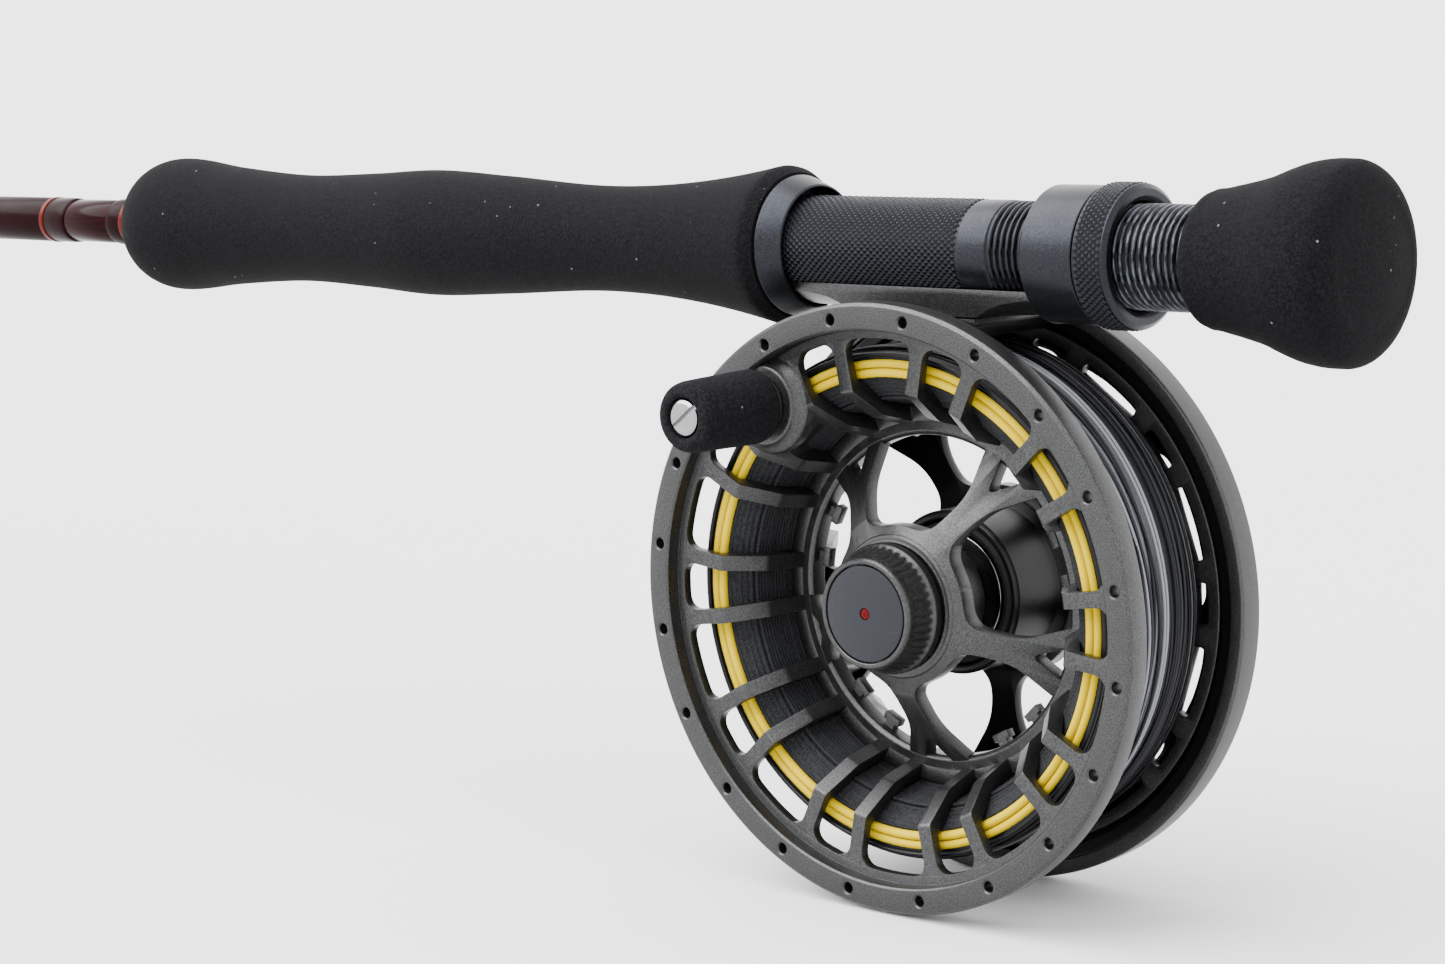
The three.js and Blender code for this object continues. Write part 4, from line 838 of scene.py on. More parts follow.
def line_finish(name, colour, spread, rough):
    """Coated line: each turn a slightly different tone, dulled where it has been handled."""
    paint = Finish(name)
    tone = paint.tone()
    fine = paint.grain(1500.0, 3.0)
    body = paint.mixed(tone, shade(colour, 1 - spread), shade(colour, 1 + spread))
    dulled = paint.mixed(paint.ramp(fine, 0.45, 0.8) * 0.3, body, shade(colour, 0.78))
    relief = paint.bump(fine, 0.00003, 0.4)
    return paint.made(Base_Color=dulled, Roughness=rough + (fine - 0.5) * 0.15, Normal=relief,
                      Specular_IOR_Level=0.05)


def leader_finish(name):
    """The outer turns: smoky dark line with clear, bright turns among it."""
    paint = Finish(name)
    tone = paint.tone()
    fine = paint.grain(900.0, 3.0)
    parts = paint.node("ShaderNodeSeparateXYZ", Vector=paint.place)
    behind = paint.ramp(paint.number(parts, 1), REEL_ORIGIN.y + 0.0090, REEL_ORIGIN.y + 0.0115)
    clear = paint.ramp(tone, 0.56, 0.66) * behind
    dark = paint.mixed(paint.ramp(tone, 0.0, 0.66) * (behind * 0.9 + 0.1), (0.0022, 0.0022, 0.0026),
                       (0.018, 0.0187, 0.0225))
    body = paint.mixed(clear * 0.9, dark, (0.16, 0.168, 0.182))
    relief = paint.bump(fine, 0.00003, 0.3)
    return paint.made(Base_Color=body, Roughness=0.30 - clear * 0.12 + (fine - 0.5) * 0.1,
                      Normal=relief, Coat_Weight=clear * 0.3, Coat_Roughness=0.12,
                      Specular_IOR_Level=0.12)


def backing_finish(name):
    """Braided backing: dark strands with a fine plait, painted darker in its hollows as shade and
    lighter on its ridges as a highlight.
    """
    paint = Finish(name)
    tone = paint.tone()
    plait = paint.number(paint.node("ShaderNodeTexVoronoi", Vector=paint.place, Scale=2600.0))
    # Painted shade and highlight: the base colour follows the plait's relief, dark in its hollows
    # and light on its ridges.
    body = paint.mixed(paint.ramp(plait, 0.1, 0.6), (0.0009, 0.0010, 0.0012),
                       (0.0150, 0.0154, 0.0170))
    toned = paint.mixed(tone * 0.5, body, (0.0060, 0.0062, 0.0072))
    relief = paint.bump(plait, 0.00012, 0.9)
    return paint.made(Base_Color=toned, Roughness=0.72 + (plait - 0.3) * 0.2, Normal=relief,
                      Specular_IOR_Level=0.12)


def moulded_finish(name, colour, rough, carbon=False):
    """Moulded polymer, rubber or pressed carbon with a fine grain."""
    paint = Finish(name)
    fine = paint.grain(2200.0 if not carbon else 1400.0, 4.0, 0.6)
    patch = paint.grain(260.0, 3.0)
    body = paint.mixed(paint.ramp(fine, 0.35, 0.7), shade(colour, 0.7), shade(colour, 1.3))
    toned = paint.mixed(paint.ramp(patch, 0.4, 0.7) * 0.3, body, shade(colour, 0.8))
    relief = paint.bump(fine, 0.00004, 0.5)
    return paint.made(Base_Color=toned, Roughness=rough + (fine - 0.5) * 0.15, Normal=relief,
                      Specular_IOR_Level=0.2)


def disc_finish(name):
    """The cap's face: smooth blue-grey lacquer with fine hairline marks."""
    paint = Finish(name)
    fine = paint.grain(3600.0, 2.0)
    hair = paint.ramp(paint.grain(500.0, 4.0, 0.7, stretch=(0.2, 1.0, 1.6)), 0.62, 0.72)
    body = paint.mixed(paint.ramp(fine, 0.3, 0.7), (0.0125, 0.0134, 0.0165),
                       (0.0155, 0.0166, 0.0200))
    marked = paint.mixed(hair * 0.2, body, (0.032, 0.033, 0.037))
    relief = paint.bump(fine, 0.000008, 0.4)
    return paint.made(Base_Color=marked, Metallic=0.35, Roughness=0.34 + hair * 0.1, Normal=relief,
                      Specular_IOR_Level=0.15)


def dot_finish(name):
    """Red paint filled into a small dimple."""
    paint = Finish(name)
    fine = paint.grain(3000.0, 3.0)
    body = paint.mixed(paint.ramp(fine, 0.3, 0.7), (0.045, 0.0008, 0.0014), (0.080, 0.0015, 0.0028))
    relief = paint.bump(fine, 0.00003, 0.5)
    return paint.made(Base_Color=body, Roughness=0.42 + (fine - 0.5) * 0.2, Normal=relief,
                      Specular_IOR_Level=0.05)


FINISHES = {}


def finish(name):
    """A finish by name, made the first time it is asked for."""
    if name not in FINISHES:
        rod, reel = bpy.context.scene.rod_settings, bpy.context.scene.reel_settings
        metal, seat, foam = tuple(reel.metal_colour), tuple(rod.seat_colour), tuple(rod.foam_colour)
        makers = {
            "reel_anodised": (anodised_finish, metal, 0.38, 1.0),
            "frame_anodised": (frame_painted_shade_finish, metal),
            "seat_anodised": (anodised_finish, seat, 0.37, 0.35),
            "seat_knurled": (anodised_finish, shade(seat, 0.85), 0.44, 0.2),
            "seat_thread": (thread_metal_finish, seat),
            "knob_foam": (foam_finish, shade(foam, 1.7)),
            "bright_steel": (turned_metal_finish, (0.26, 0.26, 0.265), 0.22),
            "grip_foam": (foam_finish, foam),
            "blank_gloss": (blank_finish, tuple(rod.blank_colour)),
            "black_wrap": (wrap_finish, (0.0066, 0.0004, 0.0008), 0.0),
            "trim_wrap": (wrap_finish, tuple(rod.trim_colour), 0.35),
            "ring_ceramic": (moulded_finish, (0.012, 0.013, 0.015), 0.12),
            "yellow_line": (line_finish, tuple(reel.line_colour), 0.07, 0.42),
            "running_line": (leader_finish,), "braided_backing": (backing_finish,),
            "dark_polymer": (moulded_finish, (0.005, 0.005, 0.0053), 0.55),
            "pressed_carbon": (moulded_finish, (0.008, 0.008, 0.0085), 0.48, True),
            "seal_rubber": (moulded_finish, (0.003, 0.003, 0.003), 0.7), "cap_face": (disc_finish,),
            "red_paint": (dot_finish,),
        }
        maker, *looks = makers[name]
        FINISHES[name] = maker(name, *looks)
    return FINISHES[name]


# ------------------------------------------------------------------ turned pieces
def extent(node, axis):
    """A turned node's start, end and outside radius in millimetres, with Y from the reel's face."""
    low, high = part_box(node)
    if axis == "x":
        return low.x / MM, high.x / MM, (high.z - low.z) / 2 / MM
    return (low.y - REEL_ORIGIN.y) / MM, (high.y - REEL_ORIGIN.y) / MM, (high.z - low.z) / 2 / MM


def rod_piece(name, node, outline, material, segments=96, body="rod"):
    """A piece turned about the rod's axis."""
    holder = body_of(name, [turned(outline, "x", segments)])
    return finished(holder, finish(material), body, (node,))


def reel_piece(name, node, outline, material, segments=96, body="rod", shape=None):
    """A piece turned about the reel's axle."""
    holder = at_reel(name, [turned(outline, "y", segments, shape)])
    return finished(holder, finish(material), body, (node,))


# ------------------------------------------------------------------ rod
BLANK_TIP_R = 3.7
BLANK_GRIP_R = 4.68
BLANK_BUTT_R = 4.95
BLANK_WALL = 1.0
WRAPS = ("ferrule_wrap", "guide_wrap_front", "guide_wrap_rear", "butt_wrap", "grip_wrap")


def blank_radius(x):
    """The blank's outside radius at a place along the rod."""
    start = extent("blank", "x")[0]
    front = extent("grip", "x")[0]
    butt = extent("fighting_butt", "x")[0]
    to_grip = min(max((x - start) / (front - start), 0.0), 1.0)
    to_butt = min(max((x - front) / (butt - front), 0.0), 1.0)
    front_part = (BLANK_GRIP_R - BLANK_TIP_R) * to_grip
    return BLANK_TIP_R + front_part + (BLANK_BUTT_R - BLANK_GRIP_R) * to_butt


class ROD_OT_blank(bpy.types.Operator):
    """Build the blank with its thread wraps and trim bands"""
    bl_idname = "rod.blank"
    bl_label = "Blank and wraps"

    def execute(self, context):
        start, end, _ = extent("blank", "x")
        outside = [(blank_radius(start), start)]
        for wrap in WRAPS:
            low, high, _ = extent(wrap, "x")
            seat = 0.42
            outside += [(blank_radius(low), low - 0.1), (blank_radius(low) - seat, low - 0.1),
                        (blank_radius(high) - seat, high + 0.1), (blank_radius(high), high + 0.1)]
        outside += [(blank_radius(end), end)]
        inside = [(blank_radius(end) - BLANK_WALL, end), (blank_radius(start) - BLANK_WALL, start)]
        rod_piece("blank_tube", "blank", softened(outside + inside, 0.12, 2), "blank_gloss",
                  64)
        for wrap in WRAPS:
            self.wrap(wrap)
        return {"FINISHED"}

    def wrap(self, wrap):
        low, high, radius = extent(wrap, "x")
        trims = sorted(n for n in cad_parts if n.startswith(wrap + "_trim"))
        crown = radius - blank_radius(high)
        outline = [(blank_radius(low) - 0.3, low), (blank_radius(low) + crown * 0.2, low)]
        outline += [(blank_radius(low) + crown * 0.85, low + 0.5),
                    (blank_radius(low) + crown, low + 1.3)]
        for trim in trims:
            near, far, _ = extent(trim, "x")
            top = blank_radius(near) + crown
            outline += [(top, near - 0.1), (top - 0.35, near - 0.1), (top - 0.35, far + 0.1),
                        (top, far + 0.1)]
        outline += [(blank_radius(high) + crown, high - 1.3),
                    (blank_radius(high) + crown * 0.85, high - 0.5)]
        outline += [(blank_radius(high) + crown * 0.2, high), (blank_radius(high) - 0.3, high)]
        rod_piece(wrap + "_thread", wrap, softened(outline, 0.08, 2), "black_wrap",
                  64)
        for index, trim in enumerate(trims):
            near, far, outer = extent(trim, "x")
            band = softened([(outer - 0.3, near), (outer, near), (outer, far),
                             (outer - 0.3, far)], 0.14)
            rod_piece(f"{wrap}_band_{index + 1}", trim, band, "trim_wrap", 64)


class ROD_OT_guide(bpy.types.Operator):
    """Build the stripping guide, its ring and the hook keeper"""
    bl_idname = "rod.guide"
    bl_label = "Guide and keeper"

    def execute(self, context):
        low, high, _ = extent("stripping_guide", "x")
        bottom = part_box("stripping_guide")[0].z / MM
        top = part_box("stripping_guide")[1].z / MM
        wire = GUIDE_WIRE_R
        middle = (low + high) / 2
        ring_r = GUIDE_RING_R
        centre_z = bottom + wire + ring_r
        circle = [(middle, ring_r * math.cos(a), centre_z + ring_r * math.sin(a))
                  for a in (2 * math.pi * i / 24 for i in range(24))]
        parts = [swept(circle, wire, closed=True)]
        foot = top - wire * 0.92
        for side in (-1, 1):
            for lean in (-1, 1):
                route = [(middle + side * (high - middle), 0, foot), (middle + side * 17, 0, foot),
                         (middle + side * 11, lean * 0.7, foot - 0.5),
                         (middle + side * 5.5, lean * 2.4, foot - 3.6),
                         (middle + side * 0.6, lean * 4.2, centre_z + ring_r * 0.83)]
                parts.append(swept(route, wire * 0.8))
        holder = body_of("guide_frame", parts)
        finished(holder, finish("bright_steel"), "rod", ("stripping_guide",))
        outer = (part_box("guide_ring_insert")[1].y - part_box("guide_ring_insert")[0].y) / 2 / MM
        section = softened([(outer, -1.1), (outer, 1.1), (outer - 0.8, 1.2), (outer - 1.3, 0),
                            (outer - 0.8, -1.2)], 0.5, 4)
        ceramic = body_of("guide_ring", [turned(section, "x", 64)],
                          Vector((middle, 0, centre_z)) * MM)
        finished(ceramic, finish("ring_ceramic"), "rod", ("guide_ring_insert",))
        self.keeper()
        return {"FINISHED"}

    def keeper(self):
        low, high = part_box("hook_keeper")
        middle = (low.x + high.x) / 2 / MM
        half = (high.x - low.x) / 2 / MM
        near, far = low.y / MM + 0.45, high.y / MM - 0.45
        route = [(middle - half, near, 0), (middle - half * 0.55, near, 0),
                 (middle - half * 0.25, far - 0.7, 0), (middle, far, 0),
                 (middle + half * 0.25, far - 0.7, 0), (middle + half * 0.55, near, 0),
                 (middle + half, near, 0)]
        holder = body_of("keeper_wire", [swept(route, 0.42)])
        finished(holder, finish("bright_steel"), "rod", ("hook_keeper",))


class ROD_OT_grip(bpy.types.Operator):
    """Build the foam grip and the fighting butt"""
    bl_idname = "rod.grip"
    bl_label = "Grip and butt"

    def execute(self, context):
        self.grip()
        self.butt()
        return {"FINISHED"}

    def grip(self):
        start, end, widest = extent("grip", "x")
        hood_start = extent("fixed_hood", "x")[0]
        skirt = 11.65
        nose = (start + 11.0, 13.95)
        stations = [nose, (-63, 12.25), (-41, 10.85), (-20, 11.45), (-2, 12.3), (17, 11.4),
                    (46, 9.85)]
        first = blank_radius(start) + GAP
        outline = [(first, start), (first + 1.6, start)]
        for i in range(1, 13):
            turn = math.pi / 2 * i / 12
            outline.append((first + 1.6 + (nose[1] - first - 1.6) * math.sin(turn) ** 0.9,
                            nose[0] - (nose[0] - start) * math.cos(turn)))
        outline += smooth_run(stations, 9)
        waist = stations[-1]
        flare = end - 2.6
        for x in span(waist[0], flare, 16):
            t = (x - waist[0]) / (flare - waist[0])
            outline.append((waist[1] + (widest - waist[1]) * t ** 2, x))
        outline += [(widest - 0.15, flare + 0.9), (widest - 0.7, flare + 1.8), (widest - 1.2, end)]
        outline += [(skirt, end), (skirt, hood_start - 0.4), (first, hood_start - 0.4)]
        rod_piece("grip_sleeve", "grip", outline, "grip_foam", 128)

    def butt(self):
        start, end, widest = extent("fighting_butt", "x")
        bore = blank_radius(start) + GAP
        depth = start + 21.2
        stations = [(start + 2.0, 11.35), (start + 6.0, 12.0), (start + 9.3, 12.7),
                    (start + 12.5, 13.5), (start + 16.2, 14.85), (start + 19.6, 15.85),
                    (start + 23.7, widest)]
        outline = [(bore, start), (8.9, start), (10.2, start + 0.25), (10.95, start + 0.9)]
        outline += smooth_run(stations, 5)
        shoulder = end - 5.4
        for i in range(1, 15):
            turn = math.pi / 2 * i / 14
            outline.append((10.8 + (widest - 10.8) * math.cos(turn),
                            shoulder + 4.4 * math.sin(turn)))
        outline += [(9.0, end - 0.72), (6.5, end - 0.34), (4.0, end - 0.1), (2.0, end - 0.02),
                    (0, end)]
        outline += [(0, depth), (bore, depth)]
        rod_piece("butt_knob", "fighting_butt", outline, "grip_foam", 128)


def smooth_run(stations, steps):
    """Radii along a smooth line through (place, radius) stations."""
    points = []
    for index in range(len(stations) - 1):
        before = stations[max(index - 1, 0)]
        here, there = stations[index], stations[index + 1]
        after = stations[min(index + 2, len(stations) - 1)]
        length = there[0] - here[0]
        leave = (there[1] - before[1]) / (there[0] - before[0]) * length
        arrive = (after[1] - here[1]) / (after[0] - here[0]) * length
        leave = 0.0 if index == 0 else leave
        arrive = 0.0 if index == len(stations) - 2 else arrive
        for step in range(steps):
            t = step / steps
            r = ((2 * t ** 3 - 3 * t ** 2 + 1) * here[1] + (t ** 3 - 2 * t ** 2 + t) * leave
                 + (3 * t ** 2 - 2 * t ** 3) * there[1] + (t ** 3 - t ** 2) * arrive)
            points.append((r, here[0] + length * t))
    points.append((stations[-1][1], stations[-1][0]))
    return points


class ROD_OT_seat(bpy.types.Operator):
    """Build the reel seat: barrel, knurl, thread, hoods and lock nut"""
    bl_idname = "rod.seat"
    bl_label = "Reel seat"

    def execute(self, context):
        rod = context.scene.rod_settings
        self.barrel(rod)
        self.hoods()
        self.nut(rod)
        for index, node in enumerate(("seat_arbor_1", "seat_arbor_2")):
            start, end, radius = extent(node, "x")
            outline = ring(blank_radius(end) + 0.15, radius, start, end, 0.4)
            rod_piece(f"arbor_sleeve_{index + 1}", node, outline, "grip_foam", 64)
        return {"FINISHED"}

    def barrel(self, rod):
        start, end, radius = extent("seat_barrel", "x")
        knurl_start = extent("fixed_hood", "x")[1] - 4.0
        wall = radius - 1.4
        base = radius - 0.24
        outline = [(wall, start), (base, start), (base, SEAT_BAND_X - 0.3),
                   (radius - 0.1, SEAT_BAND_X - 0.3), (radius, SEAT_BAND_X),
                   (radius, SEAT_THREAD_X - 0.2), (radius - 0.25, SEAT_THREAD_X),
                   (wall, SEAT_THREAD_X)]
        holder = body_of("seat_tube", [turned(softened(outline, 0.1, 2), "x", 128)])
        finished(holder, finish("seat_anodised"), "rod", ("seat_barrel",))
        studs = knurled("seat_knurl", rod.knurl_pitch, knurl_start * MM, (SEAT_BAND_X - 0.4) * MM,
                        (radius - 0.13) * MM, finish("seat_knurled"))
        finished(studs, finish("seat_knurled"), "rod", (), 20.0)
        screw = self.thread(rod, SEAT_THREAD_X, end, radius - 0.08, wall)
        screw = body_of("seat_thread_tube", [screw])
        finished(screw, finish("seat_thread"), "rod", (), 60.0)

    def thread(self, rod, start, end, radius, wall):
        pitch, depth = rod.thread_pitch / MM, rod.thread_depth / MM
        rows = int((end - start) / pitch * 10)
        outline = [(wall, start), (radius, start)]
        outline += [(radius, x) for x in span(start, end, rows)]
        outline += [(wall, end)]

        def groove(r, place, angle):
            if r < radius - 0.01 or place <= start:
                return r
            turn = ((place - start) / pitch - angle / (2 * math.pi)) % 1.0
            fade = min(1.0, (end - place) / 0.8, (place - start) / 0.5)
            cut = max(0.0, min(1.0, (abs(turn - 0.5) - 0.17) / 0.2))
            return r - depth * (1 - cut) * max(fade, 0.0)

        return turned(outline, "x", 96, groove)

    def hoods(self):
        start, end, radius = extent("fixed_hood", "x")
        front = extent("grip", "x")[1] + GAP
        outline = [(11.35, start), (11.35, front), (radius, front), (radius, front + 0.35),
                   (10.85, end - 0.15), (10.6, end), (POCKET_R, end), (POCKET_R, POCKET_END_X),
                   (SEAT_SLEEVE_R, POCKET_END_X), (SEAT_SLEEVE_R, start)]
        rod_piece("front_hood", "fixed_hood", softened(outline, 0.12), "seat_anodised",
                  160)
        start, end, radius = extent("sliding_hood", "x")
        outline = [(POCKET_R, start), (radius - 0.25, start), (radius, start + 0.25),
                   (radius, end - 0.2), (radius - 0.2, end), (10.9, end), (10.9, start + 7.3),
                   (SEAT_SLEEVE_R, start + 7.3), (SEAT_SLEEVE_R, start + 5.6),
                   (POCKET_R, start + 5.6)]
        rod_piece("rear_hood", "sliding_hood", softened(outline, 0.14), "seat_anodised",
                  160, body="sliding_hood")
        start, end, radius = extent("hood_snap_ring", "x")
        rod_piece("snap_ring", "hood_snap_ring", ring(10.05, radius, start, end), "bright_steel",
                  96, body="sliding_hood")

    def nut(self, rod):
        start, end, radius = extent("lock_nut", "x")
        front = start + 2.7
        neck, bore = 9.9, SEAT_SLEEVE_R
        low = radius - 0.26
        outline = [(neck, start), (neck, front), (radius - 0.5, front),
                   (radius - 0.15, front + 0.3), (low, front + 0.7), (low, end - 1.15),
                   (radius - 0.1, end - 0.85), (radius - 0.1, end - 0.65), (radius - 0.95, end),
                   (bore + 0.9, end), (bore, end - 0.8), (bore, start)]
        rod_piece("nut_ring", "lock_nut", softened(outline, 0.1), "seat_anodised",
                  160, body="lock_nut")
        studs = knurled("nut_knurl", rod.knurl_pitch, (front + 0.55) * MM, (end - 0.9) * MM,
                        (radius - 0.15) * MM, finish("seat_knurled"))
        finished(studs, finish("seat_knurled"), "lock_nut", (), 20.0)


# ------------------------------------------------------------------ spool
def bay_window(middle, half, inner, outer, corner, rib=RIB_WIDTH, steps=6):
    """The outline of the opening between two ribs, with rounded outer corners."""
    def edge(radius):
        return math.degrees(math.asin(rib / 2 / radius))
    points = [polar(inner, middle - half + edge(inner)), polar(inner, middle + half - edge(inner))]
    low, high = middle - half + edge(outer), middle + half - edge(outer)
    inset = math.degrees(corner / outer)
    points.append(polar(outer - corner, high))
    for step in range(1, 5):
        turn = math.pi / 2 * step / 5
        points.append(polar(outer - corner + corner * math.sin(turn),
                            high - inset * (1 - math.cos(turn))))
    for step in range(steps + 1):
        points.append(polar(outer, high - inset - (high - low - 2 * inset) * step / steps))
    for step in range(4, 0, -1):
        turn = math.pi / 2 * step / 5
        points.append(polar(outer - corner + corner * math.sin(turn),
                            low + inset * (1 - math.cos(turn))))
    points.append(polar(outer - corner, low))
    return points


def rounded(points, radius, steps=6):
    """A closed outline with its corners rounded, wherever it lies."""
    shift = 1000.0
    return [(x - shift, z) for x, z in softened([(x + shift, z) for x, z in points], radius, steps)]


def spoke_window(inner, split, outer, width, fork, corner):
    """The opening between one forked spoke and the next."""
    here, after = SPOKE_PHASE, SPOKE_PHASE + 360.0 / SPOKES
    middle = (here + after) / 2

    def edge(radius):
        return math.degrees(math.asin(width / 2 / radius))
    arc = [polar(outer, middle + (after - fork - middle) * t) for t in (-1.0, -0.5, 0.0, 0.5, 1.0)]
    return rounded([
        polar(inner, here + edge(inner)), polar(split, here + edge(split)), *arc,
        polar(split, after - edge(split)), polar(inner, after - edge(inner)),
        polar(inner - 0.4, middle),
    ], corner)


class REEL_OT_spool(bpy.types.Operator):
    """Build the open-spoked spool with its rim, ribs, arbor hoop and rear flange"""
    bl_idname = "reel.spool"
    bl_label = "Spool"

    def execute(self, context):
        spool = self.rim()
        joined(spool, self.cage(), self.rear_flange())
        self.open_bays(spool)
        joined(spool, self.centre(), self.hub(), self.hoop(), self.tabs(), self.boss())
        self.drill(spool)
        crisp(spool, 0.16)
        finished(spool, finish("reel_anodised"), "spool", ("spool",), 34.0)
        spool.name = "spool_shell"
        return {"FINISHED"}

    def rim(self):
        outline = softened([
            (RIM_R - 0.55, 0), (RIM_R, 0.55), (RIM_R, RIM_DEPTH), (RIM_STEP_R, RIM_DEPTH),
            (RIM_STEP_R, RIM_STEP_Y), (RIM_FACE_R, RIM_STEP_Y), (RIM_FACE_R, 0.35),
            (RIM_FACE_R + 0.35, 0)], 0.12, 2)
        return at_reel("spool_rim", [turned(outline, "y", 240)])

    def cage(self):
        near, far = ARBOR_Y - KNEE_REACH, ARBOR_Y + KNEE_REACH
        front = RIM_STEP_Y + 0.1
        rear = REAR_FLANGE_Y + REAR_FLANGE_THICK - 0.2
        outline = [
            (RIM_STEP_R + 0.8, front), (SHOULDER_R + 0.3, front), (KNEE_R, near),
            (ARBOR_R, ARBOR_Y - 1.4), (ARBOR_R, ARBOR_Y + 1.4), (KNEE_R, far), (SHOULDER_R, rear),
            (SHOULDER_R + RIB_THICK, rear - 1.2), (KNEE_R + RIB_THICK, far - 0.6),
            (ARBOR_R + RIB_THICK, ARBOR_Y + 1.0), (ARBOR_R + RIB_THICK, ARBOR_Y - 1.0),
            (KNEE_R + RIB_THICK, near + 0.6),
            (SHOULDER_R + RIB_THICK * 0.8, front + RIB_THICK * 0.7),
            (RIM_STEP_R + 0.8, front + 1.65)]
        return at_reel("spool_cage", [turned(softened(outline, 0.5, 3), "y", 240)])

    def rear_flange(self):
        end = REAR_FLANGE_Y + REAR_FLANGE_THICK
        outline = softened([(REAR_FLANGE_R, REAR_FLANGE_Y), (REAR_FLANGE_R, end), (SHOULDER_R, end),
                            (SHOULDER_R, REAR_FLANGE_Y)], 0.3)
        return at_reel("spool_flange", [turned(outline, "y", 240)])

    def open_bays(self, spool):
        narrow, wide = RIB_ANGLE, 180.0 / BAYS - RIB_ANGLE
        front_end, rear_start = ARBOR_Y - 1.6, ARBOR_Y + 1.6
        rear_end = REAR_FLANGE_Y + 4
        rear_outer, bay = 41.2, 360.0 / BAYS
        for half, first in ((narrow, 0.0), (wide, bay / 2)):
            front = prism(bay_window(0, half, 26.0, RIM_STEP_R, 2.5), -2, front_end)
            rear = prism(bay_window(0, half, 26.0, rear_outer, 1.6), rear_start, rear_end)
            skipped = 4 if half == wide else 0
            count = BAYS - 1 if half == wide else BAYS
            carve(spool, copied("front_windows", [front], count,
                                first + PHASE + bay * skipped, bay))
            carve(spool, copied("rear_windows", [rear], BAYS, first + PHASE, bay))
            slot = bay_window(0, half - 2.4, SLOT_R - SLOT_WIDTH / 2, SLOT_R + SLOT_WIDTH / 2,
                              1.1, 0.1)
            carve(spool, copied("rear_slots", [prism(slot, REAR_FLANGE_Y - 1, rear_end)], BAYS,
                                first + PHASE, bay))
        low = prism(bay_window(0, wide, 26.0, SHOULDER_R - 2.2, 1.8), -2, front_end)
        carve(spool, copied("boss_window", [low], 1, KNOB_ANGLE))
        holes = turned(shaft(HOLE_R, -1, RIM_DEPTH + 1, 0.0), "y", 20)
        carve(spool, copied("rim_holes", [shifted(holes, HOLE_CIRCLE_R, 0)], BAYS * 2,
                            bay / 4 + PHASE))
        sink = turned([(0, -0.4), (HOLE_R + 0.62, -0.4), (HOLE_R, 0.28), (0, 0.28)], "y", 20)
        carve(spool, copied("rim_sinks", [shifted(sink, HOLE_CIRCLE_R, 0)], BAYS * 2,
                            bay / 4 + PHASE))

    def centre(self):
        outer = HOOP_INNER_R + 1.4
        rise = (ARBOR_Y - HOOP_THICK / 2 - HUB_FRONT_Y) / (outer - HUB_R)

        def front(radius):
            return HUB_FRONT_Y + (radius - HUB_R) * rise + 0.3
        outline = [(HUB_R - 1.5, front(HUB_R - 1.5) + 0.5), (16.0, front(16.0) - 0.4),
                   (outer, front(outer)), (outer, front(outer) + SPOKE_THICK),
                   (16.0, front(16.0) + SPOKE_THICK - 0.2),
                   (HUB_R - 1.5, front(HUB_R - 1.5) + SPOKE_THICK + 0.5)]
        cone = at_reel("spool_spokes", [turned(softened(outline, 0.25), "y", 200)])
        window = spoke_window(HUB_R + 2.0, HOOP_INNER_R - 6.2, HOOP_INNER_R + 3.0, SPOKE_WIDTH,
                              14.5, 2.6)
        carve(cone, copied("spoke_windows", [prism(window, -5, ARBOR_Y + 12)], SPOKES))
        fork = rounded([polar(HOOP_INNER_R - 4.2, SPOKE_PHASE),
                        polar(HOOP_INNER_R + 3.4, SPOKE_PHASE - 8.2),
                        polar(HOOP_INNER_R + 3.4, SPOKE_PHASE + 8.2)], 1.5)
        carve(cone, copied("spoke_forks", [prism(fork, -5, ARBOR_Y + 12)], SPOKES))
        return cone

    def hub(self):
        outline = softened([
            (HUB_R - 0.5, HUB_FRONT_Y), (HUB_R, HUB_FRONT_Y + 0.5),
            (HUB_R + 0.4, HUB_FRONT_Y + 3.4), (HUB_R - 0.6, HUB_FRONT_Y + 4.4),
            (HUB_BARREL_R + 0.6, HUB_FRONT_Y + 5.6), (HUB_BARREL_R, HUB_FRONT_Y + 8),
            (HUB_BARREL_R, HUB_END_Y), (HUB_BORE_R, HUB_END_Y), (HUB_BORE_R, HUB_FRONT_Y)], 0.3)
        return at_reel("spool_hub", [turned(outline, "y", 160)])

    def hoop(self):
        near, far = ARBOR_Y - HOOP_THICK / 2, ARBOR_Y + HOOP_THICK / 2
        outline = softened([(HOOP_INNER_R, near + 0.4), (HOOP_INNER_R + 0.8, near - 0.2),
                            (ARBOR_R + 1.0, near + 0.7), (ARBOR_R + 1.0, far - 0.3),
                            (HOOP_INNER_R, far)], 0.25)
        return at_reel("spool_hoop", [turned(outline, "y", 240)])

    def tabs(self):
        step = 360.0 / SPOKES
        far = ARBOR_Y + HOOP_THICK / 2
        parts = []
        for angle in (step / 2 - 9, step / 2 + 9):
            stem = [(HOOP_INNER_R - 1.1, far - 1.9), (HOOP_INNER_R + 0.7, far - 1.9),
                    (HOOP_INNER_R + 0.7, far - 0.1), (HOOP_INNER_R - 1.1, far - 0.1)]
            head = [(HOOP_INNER_R - 2.3, far - 1.9), (HOOP_INNER_R - 1.0, far - 1.9),
                    (HOOP_INNER_R - 1.0, far - 0.1), (HOOP_INNER_R - 2.3, far - 0.1)]
            parts += [block(stem, 1.9, angle + SPOKE_PHASE), block(head, 3.4, angle + SPOKE_PHASE)]
        separate = copied("spool_tab_stems", parts[::2], SPOKES - 1, step, step)
        return joined(separate, copied("spool_tab_heads", parts[1::2], SPOKES - 1, step, step))

